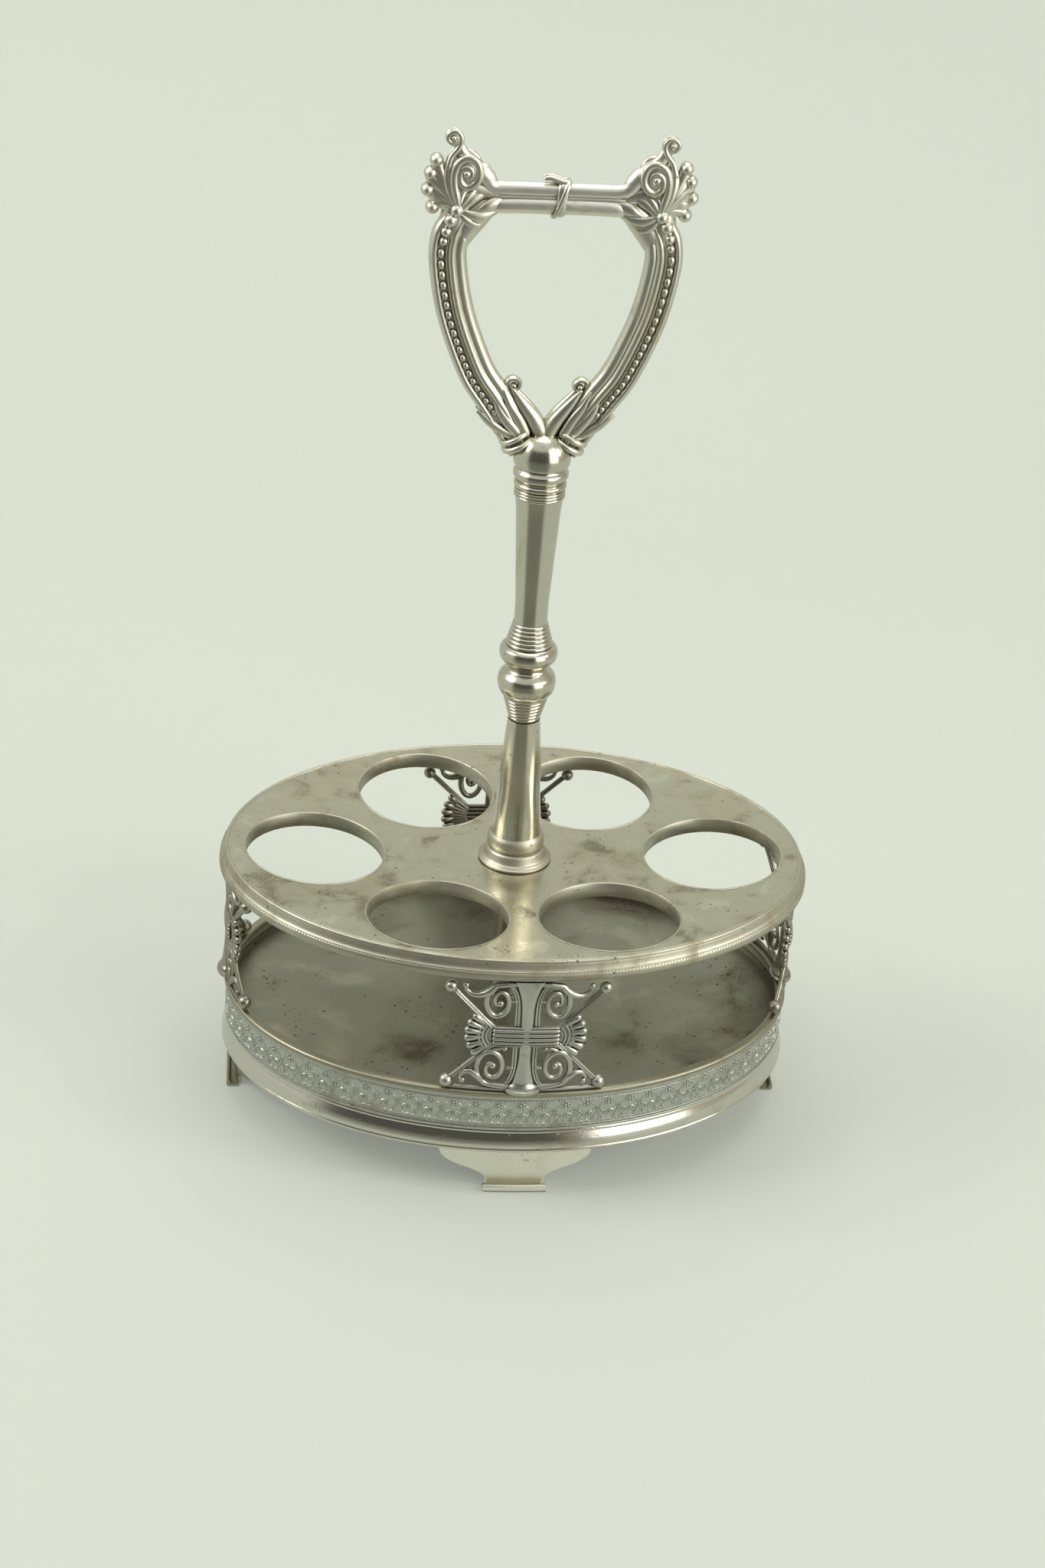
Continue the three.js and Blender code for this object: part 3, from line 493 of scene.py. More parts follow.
@dataclass(frozen=True)
class Oval:
    """Oval line in plan, by its half length and half width in millimetres."""

    half_length: float
    half_width: float

    def point(self, angle: float, offset: float = 0.0) -> Vector:
        """Return a point in plan.

        Args:
            angle: The oval's own angle in radians.
            offset: Distance outwards from the line.

        Returns:
            The point, at height 0.
        """
        a, b = self.half_length, self.half_width
        normal = Vector((b * math.cos(angle), a * math.sin(angle), 0)).normalized()
        return Vector((a * math.cos(angle), b * math.sin(angle), 0)) + offset * normal

    def walk(self, start: float, distance: float) -> float:
        """Return the angle at a distance along the line from a starting angle.

        Args:
            start: The starting angle.
            distance: Distance along the line.

        Returns:
            The angle.
        """
        steps = max(8, int(abs(distance) / 4))
        angle = start
        for _ in range(steps):
            across, along = self.half_length * math.sin(angle), self.half_width * math.cos(angle)
            angle += distance / steps / math.hypot(across, along)
        return angle

    def length(self) -> float:
        """Return the length all the way round."""
        count = 720
        corners = [self.point(2 * math.pi * i / count) for i in range(count + 1)]
        return sum((b - a).length for a, b in zip(corners, corners[1:]))


class Blank:
    """A piece in the making: one bmesh and the shaping steps that the pieces share."""

    # Radius and reach of a strand's rounded end, as shares of its radius
    ROUNDING: ClassVar[Profile] = [(0.92, 0.35), (0.62, 0.75), (0.2, 0.97)]

    def __init__(self, name: str) -> None:
        """Start an empty piece of that name."""
        self.name = name
        self.mesh = bmesh.new()

    def _closed_line(self, mesh: bmesh.types.BMesh, points: Iterable[Sequence[float]]) -> list:
        """Add a closed line of edges and return them."""
        corners = [mesh.verts.new(point) for point in points]
        return [mesh.edges.new(pair) for pair in zip(corners, corners[1:] + corners[:1])]

    def _spun(self, profile: Profile, steps: int) -> bmesh.types.BMesh:
        """Return a closed profile of radius and height spun about the vertical axis.

        Args:
            profile: Points of radius and height.
            steps: Steps round the axis.

        Returns:
            The mesh.
        """
        part = bmesh.new()
        edges = self._closed_line(part, [(r, 0, z) for r, z in profile])
        bmesh.ops.spin(
            part, geom=[*part.verts, *edges], cent=(0, 0, 0), axis=(0, 0, 1), angle=2 * math.pi,
            steps=steps, use_merge=True,
        )
        return part

    def take(self, part: bmesh.types.BMesh, bend: Bend | None = None) -> None:
        """Move a finished part into the piece, bent where a bend is given.

        Args:
            part: The part, which is used up.
            bend: Optional bend of the part.
        """
        if bend:
            for corner in part.verts:
                corner.co = bend(corner.co)
        holder = bpy.data.meshes.new("part")
        part.to_mesh(holder)
        part.free()
        self.mesh.from_mesh(holder)
        bpy.data.meshes.remove(holder)

    def turned(
        self, profile: Profile, steps: int = 96, place: Matrix | None = None,
        bend: Bend | None = None,
    ) -> None:
        """Turn a closed profile about a vertical axis.

        Args:
            profile: Points of radius and height; one that touches the axis starts and ends there.
            steps: Steps round the axis.
            place: Optional matrix that moves and tilts the turned part.
            bend: Optional bend of the finished part.
        """
        part = self._spun(profile, steps)
        bmesh.ops.remove_doubles(part, verts=part.verts, dist=1e-4)
        bmesh.ops.dissolve_degenerate(part, edges=part.edges, dist=1e-5)
        if place:
            bmesh.ops.transform(part, matrix=place, verts=part.verts)
        self.take(part, bend)

    def oval_ring(self, oval: Oval, profile: Profile, steps: int = 240) -> None:
        """Run a closed profile of offset and height round an oval.

        Args:
            oval: Line that it follows.
            profile: Points of offset and height.
            steps: Steps round the oval.
        """
        base = oval.half_length

        def bend(place: Vector) -> Vector:
            """Return the oval's place of a point.

            Args:
                place: Point on the round ring.

            Returns:
                Its place.
            """
            offset = math.hypot(place.x, place.y) - base
            flat = oval.point(math.atan2(place.y, place.x), offset)
            return Vector((flat.x, flat.y, place.z))

        self.take(self._spun([(base + u, z) for u, z in profile], steps), bend)

    def carried(
        self, section: Profile, stations: Sequence[Matrix], bend: Bend | None = None
    ) -> None:
        """Carry a closed flat section along stations and close both ends.

        Args:
            section: Points of the section in the station's X and Y.
            stations: Matrices that place the section along the piece.
            bend: Optional bend of the finished part.
        """
        part = bmesh.new()
        edges = self._closed_line(part, [stations[0] @ Vector((x, y, 0)) for x, y in section])
        first = edges
        for before, here in zip(stations, stations[1:]):
            made = bmesh.ops.extrude_edge_only(part, edges=edges)["geom"]
            corners = {item for item in made if isinstance(item, bmesh.types.BMVert)}
            lines = [item for item in made if isinstance(item, bmesh.types.BMEdge)]
            edges = [line for line in lines if set(line.verts) <= corners]
            bmesh.ops.transform(part, matrix=here @ before.inverted(), verts=list(corners))
        bmesh.ops.edgeloop_fill(part, edges=first)
        bmesh.ops.edgeloop_fill(part, edges=edges)
        self.take(part, bend)

    def strand(
        self, line: Sequence[Vector], radii: Sequence[float], sides: int = 8, depth: float = 1.0,
        across: Vector | None = None, bend: Bend | None = None,
    ) -> None:
        """Add a round or oval strand with rounded ends along a line.

        Args:
            line: Points of its middle.
            radii: Its radius at each point, or one for all.
            sides: Sides of its section.
            depth: Its depth along the across direction, as a share of its radius.
            across: Direction that one axis of the section keeps to.
            bend: Optional bend of the finished strand.
        """
        across = across or Vector((0, 1, 0))
        sizes = list(radii) if len(radii) == len(line) else [radii[0]] * len(line)
        ahead = headings(line)
        rings = []
        for size, out in reversed(self.ROUNDING):
            rings.append((line[0] - ahead[0] * out * sizes[0], ahead[0], sizes[0] * size))
        rings += zip(line, ahead, sizes)
        for size, out in self.ROUNDING:
            rings.append((line[-1] + ahead[-1] * out * sizes[-1], ahead[-1], sizes[-1] * size))
        stations = []
        for place, forward, size in rings:
            up = (across - across.dot(forward) * forward).normalized()
            turned = Matrix((up.cross(forward), up, forward)).transposed().to_4x4()
            swell = Matrix.Diagonal((size, size * depth, size, 1))
            stations.append(Matrix.Translation(place) @ turned @ swell)
        self.carried(arc((0, 0), 1.0, 0, 360 - 360 / sides, sides - 1), stations, bend)

    def ball(
        self, place: Vector, radius: float, squash: Sequence[float] = (1, 1, 1),
        bend: Bend | None = None, fine: bool = True,
    ) -> None:
        """Add a ball.

        Args:
            place: Its centre.
            radius: Its radius.
            squash: Its size along each axis as shares of the radius.
            bend: Optional bend of the finished ball.
            fine: Whether it has many facets.
        """
        part = bmesh.new()
        segments, rings = (20, 12) if fine else (10, 7)
        bmesh.ops.create_uvsphere(part, u_segments=segments, v_segments=rings, radius=radius)
        bmesh.ops.scale(part, vec=squash, verts=part.verts)
        bmesh.ops.translate(part, vec=place, verts=part.verts)
        self.take(part, bend)

    def finish(
        self, finish: Finish, nodes: Sequence[str], crease: float = 38.0
    ) -> bpy.types.Object:
        """Turn the blank into a piece of the stand.

        Args:
            finish: Its finish.
            nodes: Frame nodes that it stands for.
            crease: Angle in degrees above which an edge stays sharp.

        Returns:
            The new object.
        """
        bmesh.ops.scale(self.mesh, vec=(MM, MM, MM), verts=self.mesh.verts)
        bmesh.ops.recalc_face_normals(self.mesh, faces=self.mesh.faces)
        mesh = bpy.data.meshes.new(self.name)
        self.mesh.to_mesh(mesh)
        self.mesh.free()
        mesh.shade_smooth()
        mesh.set_sharp_from_angle(angle=math.radians(crease))
        mesh.materials.append(WARDROBE.of(finish))
        piece = bpy.data.objects.new(self.name, mesh)
        bpy.context.scene.collection.objects.link(piece)
        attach(piece, BODY)
        if nodes:
            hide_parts(*nodes)
        log.info("%s: %d faces", self.name, len(mesh.polygons))
        return piece


def round_edges(part: bmesh.types.BMesh, edges: Sequence[bmesh.types.BMEdge]) -> None:
    """Round a sheet's or block's sharp edges a little."""
    shape = {"offset": 0.35, "segments": 2, "profile": 0.5}
    bmesh.ops.bevel(part, geom=edges, affect="EDGES", material=-1, **shape)


def span(node: str) -> tuple[Vector, Vector]:
    """Return a frame node's lowest and highest corners in millimetres."""
    low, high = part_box(node)
    return Vector(low) / MM, Vector(high) / MM


def end_name(across: int) -> str:
    """Return left for -1 and right for 1, as the handle's pieces are named."""
    return "left" if across < 0 else "right"


class Side(Enum):
    """The four ends of the oval's axes, by the oval's own angle in degrees."""

    FRONT = -90
    RIGHT = 0
    BACK = 90
    LEFT = 180

    @property
    def node_end(self) -> str:
        """Return the side's name as it stands in the node names."""
        return self.name.lower()

    @property
    def angle(self) -> float:
        """Return the oval's angle in radians."""
        return math.radians(self.value)

    @property
    def on_length(self) -> bool:
        """Return whether it is an end of the longer axis."""
        return self in (Side.LEFT, Side.RIGHT)


@dataclass(frozen=True)
class Wall:
    """Bent wall between the gallery and the rim; pieces are drawn flat and bent on to it.

    Drawn flat, x runs along the wall from its middle, y goes inwards and z up from its foot.
    """

    lower: Oval
    upper: Oval
    angle: float
    bottom: float
    height: float

    def bend(self, place: Vector) -> Vector:
        """Return the place on the wall of a point that was drawn flat.

        Args:
            place: The point.

        Returns:
            Its place.
        """
        share = place.z / self.height
        line = Oval(
            self.lower.half_length + share * (self.upper.half_length - self.lower.half_length),
            self.lower.half_width + share * (self.upper.half_width - self.lower.half_width),
        )
        flat = line.point(line.walk(self.angle, place.x), -place.y)
        return Vector((flat.x, flat.y, self.bottom + place.z))


# Base


@dataclass
class Base:
    """Floor, gallery, wire, moulding and feet."""

    # Outline of the wire's crown, as offset and rise from its middle
    CROWN: ClassVar[Profile] = [
        (1.35, -0.2), (1.2, 0.5), (0.6, 0.95), (-0.4, 1.08), (-1.4, 1.0), (-2.1, 0.65),
        (-2.3, -0.3),
    ]
    # Outline of the moulding, as offset and height: lower lip, swelling and upper lip
    LOWER_LIP: ClassVar[Profile] = [
        (1.3, 0), (1.75, 0.15), (2.0, 0.5), (2.0, 1.0), (1.85, 1.35), (1.7, 1.5),
    ]
    SWELLING: ClassVar[Profile] = [
        (1.95, 1.75), (1.78, 2.6), (1.52, 3.6), (1.18, 4.7), (0.75, 5.8), (0.2, 6.95),
    ]
    UPPER_LIP: ClassVar[Profile] = [(0.1, 7.15), (0.45, 7.35), (0.62, 7.7), (0.55, 8.05)]

    # Height and radius of the fine lines round the relief
    LINES: ClassVar[Profile] = [(0.75, 0.34), (1.75, 0.24), (12.35, 0.26)]
    # Points of the motif's right half, across in shares of half its width and up in shares of
    # the wall: garland, stalk, and buds and small leaves as place, radius and squash
    GARLAND: ClassVar[Profile] = [(0, 0.24), (0.3, 0.2), (0.62, 0.26), (0.88, 0.42), (1, 0.62)]
    STALK: ClassVar[Profile] = [(0.28, 0.66), (0.5, 0.74), (0.72, 0.68), (0.8, 0.56), (0.66, 0.5)]
    BUDS: ClassVar[Sequence[tuple]] = [
        ((0.66, 0.52), 0.5, (1, 0.6, 1)), ((0.55, 0.86), 0.34, (1, 0.6, 1)),
        ((0.3, 0.14), 0.36, (1.3, 0.6, 1)), ((0.36, 0.4), 0.38, (1, 0.7, 1.3)),
        ((0.52, 0.3), 0.38, (1, 0.7, 1.3)), ((0.7, 0.36), 0.38, (1, 0.7, 1.3)),
        ((0.84, 0.22), 0.38, (1, 0.7, 1.3)),
    ]

    # Edge of a foot's sheet, as half width and share of its height, and outline of its toe, as
    # reach from the sheet and height
    FOOT_EDGE: ClassVar[Profile] = [
        (10.8, 0.02), (10.8, 0.1), (10.9, 0.155), (11.7, 0.205), (14.2, 0.265), (17.8, 0.32),
        (21.4, 0.362), (25.0, 0.425), (27.2, 0.49), (28.2, 0.56), (28.4, 0.66), (28.4, 1),
    ]
    TOE: ClassVar[Profile] = [
        (0.2, 0), (3.9, 0), (4.45, 0.25), (4.7, 0.8), (4.75, 1.8), (4.6, 2.6), (4.2, 3.0),
        (3.7, 2.9), (3.45, 2.2), (3.3, 1.3), (3.0, 0.9), (0.2, 0.8),
    ]

    band_wall: float = 1.0
    ledge: float = 2.0
    motif_width: float = 7.9
    floor_spread: float = 0.25
    boss_radius: float = 7.15
    boss_rise: float = 0.3
    foot_sheet: float = 1.5
    foot_depth: float = 3.9
    toe_half: float = 11.3
    toe_depth: float = 4.9
    toe_bend: float = 600.0
    sharp: float = 0.9
    oval: Oval = field(init=False)

    def __post_init__(self) -> None:
        """Take the oval of the wall's middle line from the frame."""
        _, high = span("gallery_band")
        self.oval = Oval(high.x - self.band_wall / 2, high.y - self.band_wall / 2)

    def build(self) -> None:
        """Make every piece of the base."""
        self.floor()
        self.band()
        self.wire()
        self.moulding()
        self.relief()
        for side in Side:
            self.foot(side)

    def floor(self) -> None:
        """Make the flat floor that the bottles stand on, with its low boss."""
        low, high = span("floor_pan")
        piece = Blank("floor_sheet")
        reach, edge = high.x + self.floor_spread, 0.3
        level = high.z - self.boss_rise
        rounded = [(reach - edge, low.z), (reach, low.z + edge), (reach, level)]
        piece.turned([(BORE, low.z), *rounded, (BORE, level)], 200)
        share = (high.y + self.floor_spread) / reach
        bmesh.ops.scale(piece.mesh, vec=(1, share, 1), verts=piece.mesh.verts)
        inner, outer, fine = BORE + 0.1, self.boss_radius, 0.1
        boss = [(inner, level - 0.4), (outer, level - 0.4), (outer, high.z - fine)]
        piece.turned([*boss, (outer - fine, high.z), (inner, high.z)], 64)
        piece.finish(Finish.FLOOR, ["floor_pan"])

    def band(self) -> None:
        """Make the gallery wall with its inner ledge."""
        low, high = span("gallery_band")
        out = self.band_wall / 2
        top = span("floor_pan")[0].z - GAP
        profile = [
            (-out, low.z - 0.2), (out, low.z - 0.2), (out, high.z + GAP), (-out, high.z + GAP),
            (-out, top), (-out - self.ledge, top), (-out - self.ledge, top - 1), (-out, top - 1),
        ]
        piece = Blank("gallery_wall")
        piece.oval_ring(self.oval, profile)
        piece.finish(Finish.BAND, ["gallery_band"])

    def wire(self) -> None:
        """Make the broad rounded wire along the wall's edge."""
        low, high = span("gallery_wire")
        middle = (low.z + high.z) / 2
        piece = Blank("gallery_edge")
        ring = [*spline(self.CROWN, 3), (-2.1, -1.05), (0.9, -1.05)]
        piece.oval_ring(self.oval, [(u, middle + z) for u, z in ring])
        piece.finish(Finish.EDGE, ["gallery_wire"])

    def moulding(self) -> None:
        """Make the heavy moulding: lower lip, polished swelling that leans back, upper lip."""
        low, high = span("base_moulding")
        inner, top = -3.0, high.z + 0.05
        lower, swelling, upper = (
            [(u, low.z + z) for u, z in part]
            for part in (self.LOWER_LIP, self.SWELLING, self.UPPER_LIP)
        )
        outer = [(inner, low.z), *lower, *spline(swelling, 5), *upper, (0.3, top), (inner, top)]
        piece = Blank("base_ring")
        piece.oval_ring(self.oval, outer)
        piece.finish(Finish.SWELLING, ["base_moulding"], crease=40)

    def relief(self) -> None:
        """Make the stamped garland round the gallery wall, on repeats of one motif."""
        low, high = span("gallery_band")
        tall = high.z - low.z
        count = round(self.oval.length() / self.motif_width)
        pitch = self.oval.length() / count
        motif = Blank("motif")
        self._motif(motif, pitch, tall)
        piece = Blank("gallery_relief")
        flat = bpy.data.meshes.new("motif")
        motif.mesh.to_mesh(flat)
        motif.mesh.free()
        for index in range(count):
            angle = self.oval.walk(-math.pi / 2, pitch * index)
            wall = Wall(self.oval, self.oval, angle, low.z, tall)
            part = bmesh.new()
            part.from_mesh(flat)
            piece.take(part, wall.bend)
        bpy.data.meshes.remove(flat)
        for rise, thick in self.LINES:
            ring = arc((0, 0), thick, 0, 315, 7)
            face = self.band_wall / 2
            piece.oval_ring(self.oval, [(face + x, low.z + rise + z) for x, z in ring])
        piece.finish(Finish.BAND, [])

    def _motif(self, motif: Blank, pitch: float, tall: float) -> None:
        """Draw one repeat flat: a flower, a fan of leaves below it and half garlands at its sides.

        Args:
            motif: Blank that takes the repeat.
            pitch: Width of a repeat.
            tall: Height of the wall.
        """
        face = -self.band_wall / 2
        flower, petal, fan = 0.76 * tall, 1.15, 0.53 * tall

        def dot(x: float, z: float, radius: float, squash: Sequence[float]) -> None:
            """Add a flattened ball at a place across and up."""
            motif.ball(Vector((x, face, z)), radius, squash, fine=False)

        dot(0, flower, 0.62, (1, 0.75, 1))
        for turn in range(30, 390, 60):
            aim = math.radians(turn)
            dot(petal * math.cos(aim), flower + petal * math.sin(aim), 0.5, (1, 0.6, 1))
        for turn in (-64, -33, 0, 33, 64):
            aim = math.radians(turn - 90)
            start = Vector((0.9 * math.cos(aim), face - 0.05, fan + 0.9 * math.sin(aim)))
            end = Vector((3.3 * math.cos(aim), face + 0.1, fan + 2.9 * math.sin(aim)))
            line = [start.lerp(end, share) for share in (0, 0.35, 0.7, 1)]
            motif.strand(line, [0.25, 0.62, 0.55, 0.2], 6, 0.7)
        for half in (-pitch / 2, pitch / 2):
            for points, radius in ((self.GARLAND, 0.3), (self.STALK, 0.26)):
                line = spline([(x * half, face, z * tall) for x, z in points], 2)
                motif.strand(line, [radius], 6, 0.8)
            for (x, z), radius, squash in self.BUDS:
                dot(x * half, z * tall, radius, squash)
        for step in range(6):
            dot(pitch * (step / 6 - 5 / 12), 0.93 * tall, 0.3, (1, 0.7, 1))

    def foot(self, side: Side) -> None:
        """Make a stamped foot with its turned-up toe, on one side of the oval.

        Args:
            side: End of the oval's axis where it stands.
        """
        low, high = span(f"foot_{side.node_end}")
        tall = high.z - low.z
        wall = Wall(self.oval, self.oval, side.angle, low.z, tall)
        piece = Blank(f"foot_sheet_{side.node_end}")
        piece.take(self._foot_sheet(tall), wall.bend)
        reach = self.oval.half_length if side.on_length else self.oval.half_width
        turn = Matrix.Rotation(side.angle + math.pi / 2, 4, "Z")
        ahead = Matrix(((0, 0, 1), (-1, 0, 0), (0, 1, 0))).to_4x4()
        stations = []
        for step in range(13):
            across = self.toe_half * (step / 6 - 1)
            sag = 0.0 if side.on_length else across * across / self.toe_bend
            shift = Matrix.Translation((across, -(reach - self.toe_depth) + sag, low.z))
            stations.append(turn @ (shift @ ahead))
        piece.carried(self.TOE, stations)
        # The side feet take a darker finish than the front and back feet as painted shade
        finish = Finish.EDGE if side.on_length else Finish.FOOT
        piece.finish(finish, [f"foot_{side.node_end}"], crease=50)

    def _foot_sheet(self, tall: float) -> bmesh.types.BMesh:
        """Return a foot's sheet, drawn flat, with its edges rounded.

        Args:
            tall: Height of the foot.

        Returns:
            The sheet's mesh.
        """
        face, columns = self.band_wall / 2 - self.foot_depth, 20
        sheet = bmesh.new()
        grid = []
        for w, z in spline([(w, z * tall) for w, z in self.FOOT_EDGE], 3):
            row = [(w * (2 * i / columns - 1), -face, z) for i in range(columns + 1)]
            grid.append([sheet.verts.new(place) for place in row])
        for below, above in zip(grid, grid[1:]):
            for corners in zip(below, below[1:], above[1:], above):
                sheet.faces.new(corners)
        made = bmesh.ops.extrude_face_region(sheet, geom=sheet.faces[:])["geom"]
        back = [item for item in made if isinstance(item, bmesh.types.BMVert)]
        bmesh.ops.translate(sheet, vec=(0, self.foot_sheet, 0), verts=back)
        bmesh.ops.recalc_face_normals(sheet, faces=sheet.faces)
        joined = [edge for edge in sheet.edges if len(edge.link_faces) == 2]
        round_edges(sheet, [edge for edge in joined if edge.calc_face_angle() > self.sharp])
        return sheet


# Plate


@dataclass
class Plate:
    """Dished plate, its rim and the ringed holes."""

    HOLES: ClassVar[Sequence[int]] = range(1, 7)

    dish: float = 4.2
    sheet: float = 1.4
    hole_radius: float = 25.0
    ring_wall: float = 0.9
    ring_depth: float = 5.5
    ring_lip: float = 0.18
    ribs: int = 480
    rib_lean: float = 1.2
    rib_radius: float = 0.32
    oval: Oval = field(init=False)
    level: float = field(init=False)

    def __post_init__(self) -> None:
        """Take the plate's oval and height from the frame."""
        _, high = span("top_plate")
        self.oval = Oval(high.x + GAP, high.y + GAP)
        self.level = high.z

    def build(self) -> None:
        """Make the plate, its rim and the rings."""
        self.rim()
        self.top()
        for index in self.HOLES:
            self.ring(index)

    def height(self, x: float, y: float) -> float:
        """Return the height of the dished surface."""
        share = (x / self.oval.half_length) ** 2 + (y / self.oval.half_width) ** 2
        return self.level - self.dish * (1 - share)

    def _dished(self, piece: Blank) -> None:
        """Lift a piece that was made flat on to the dished surface."""
        for corner in piece.mesh.verts:
            corner.co.z += self.height(corner.co.x, corner.co.y)

    def hole_centre(self, index: int) -> Vector:
        """Return the centre of a ringed hole in plan."""
        low, high = span(f"hole_band_{index}")
        return Vector((*((low + high) / 2).xy, 0))

    def top(self) -> None:
        """Make the dished sheet with its holes cut out."""
        rings, reach = 14, self.oval.half_length
        radii = [BORE + (reach - BORE) * i / rings for i in range(rings + 1)]
        flat = Blank("flat_sheet")
        flat.turned([*[(r, -self.sheet) for r in radii], *[(r, 0) for r in reversed(radii)]], 160)
        sheet = flat.mesh
        bmesh.ops.scale(sheet, vec=(1, self.oval.half_width / reach, 1), verts=sheet.verts)
        bmesh.ops.recalc_face_normals(sheet, faces=sheet.faces)
        body = self._loose("sheet_body", sheet)
        cutter = bmesh.new()
        radius = self.hole_radius + self.ring_wall - 0.05
        for index in self.HOLES:
            place = Matrix.Translation(self.hole_centre(index))
            sizes = {"radius1": radius, "radius2": radius, "depth": 20, "matrix": place}
            bmesh.ops.create_cone(cutter, cap_ends=True, segments=120, **sizes)
        cut = self._loose("sheet_cutter", cutter)
        trim = body.modifiers.new("holes", "BOOLEAN")
        trim.operation = "DIFFERENCE"
        trim.solver = "EXACT"
        trim.object = cut
        view = bpy.context.evaluated_depsgraph_get()
        piece = Blank("plate_sheet")
        piece.mesh.from_mesh(bpy.data.meshes.new_from_object(body.evaluated_get(view)))
        bmesh.ops.triangulate(piece.mesh, faces=piece.mesh.faces)
        self._dished(piece)
        for spare in (body, cut):
            bpy.data.objects.remove(spare)
        piece.finish(Finish.WORN, ["top_plate"], crease=60)

    def _loose(self, name: str, mesh: bmesh.types.BMesh) -> bpy.types.Object:
        """Return a helper object of a bmesh, for one cut.

        Args:
            name: Name of the helper.
            mesh: Its mesh, which is used up.

        Returns:
            The object.
        """
        data = bpy.data.meshes.new(name)
        mesh.to_mesh(data)
        mesh.free()
        helper = bpy.data.objects.new(name, data)
        bpy.context.scene.collection.objects.link(helper)
        return helper

    def ring(self, index: int) -> None:
        """Make the band that hangs in one hole and follows the dish.

        Args:
            index: Number of the hole, from 1.
        """
        inner, outer = self.hole_radius, self.hole_radius + self.ring_wall
        bottom, lip = -self.ring_depth, self.ring_lip
        profile = [
            (inner, bottom + lip), (inner + lip, bottom), (outer - lip, bottom),
            (outer, bottom + lip), (outer, 0.1), (outer - 0.2, 0.22), (inner + 0.25, 0.2),
            (inner, -0.05),
        ]
        piece = Blank(f"hole_ring_{index}")
        piece.turned(profile, 120, Matrix.Translation(self.hole_centre(index)))
        self._dished(piece)
        piece.finish(Finish.RIM, [f"hole_band_{index}"], crease=60)

    def rim(self) -> None:
        """Make the rolled rim: bead, cove, sharp edge and milled band."""
        low, _ = span("rim_moulding")
        foot, top = low.z, self.level
        band = [(2.15, foot + 0.3), (2.4, foot + 0.9), (2.3, top - 4.5), (1.85, top - 3.8)]
        cove = [(1.5, top - 3.3), (1.15, top - 2.8), (0.85, top - 2.0), (0.6, top - 1.0)]
        outline = [
            (0.8, foot), (1.8, foot), *spline(band, 4), *arc((1.72, top - 3.55), 0.17, -60, 120, 6),
            *spline(cove, 4), (0.42, top - 0.75), *arc((-0.25, top - 0.35), 0.66, 0, 165, 9),
            (-1.0, top - 0.3), (-1.25, top - 0.12), (-1.7, top - 0.1), (-2.2, top - 0.6),
            (-2.2, top - 2.6), (0.8, top - 2.6),
        ]
        piece = Blank("plate_rim")
        piece.oval_ring(self.oval, [(u, z) for u, z in outline])
        self._milling(piece, foot + 0.5, top - 4.1)
        piece.finish(Finish.RIM, ["rim_moulding"], crease=45)

    def _milling(self, piece: Blank, low: float, high: float) -> None:
        """Add the fine slanting ribs of the rim's lower band.

        Args:
            piece: Blank that takes the ribs.
            low: Height of their feet.
            high: Height of their heads.
        """
        pitch = self.oval.length() / self.ribs
        angle = -math.pi / 2
        for _ in range(self.ribs):
            foot = self.oval.point(angle, 2.2)
            head = self.oval.point(self.oval.walk(angle, self.rib_lean * pitch), 1.9)
            line = [Vector((foot.x, foot.y, low)), Vector((head.x, head.y, high))]
            piece.strand(line, [self.rib_radius], 5)
            angle = self.oval.walk(angle, pitch)


# Brackets


@dataclass(frozen=True)
class Quarter:
    """What a bracket's upper or lower quarters have, as points of across and away from the strap.

    The scroll is a spiral about its centre with two half axes, and starts at its lead.
    """

    ball: float
    ball_inset: float
    centre: Point
    half: Point
    lead: Profile
    tie: float
    tendril: Profile


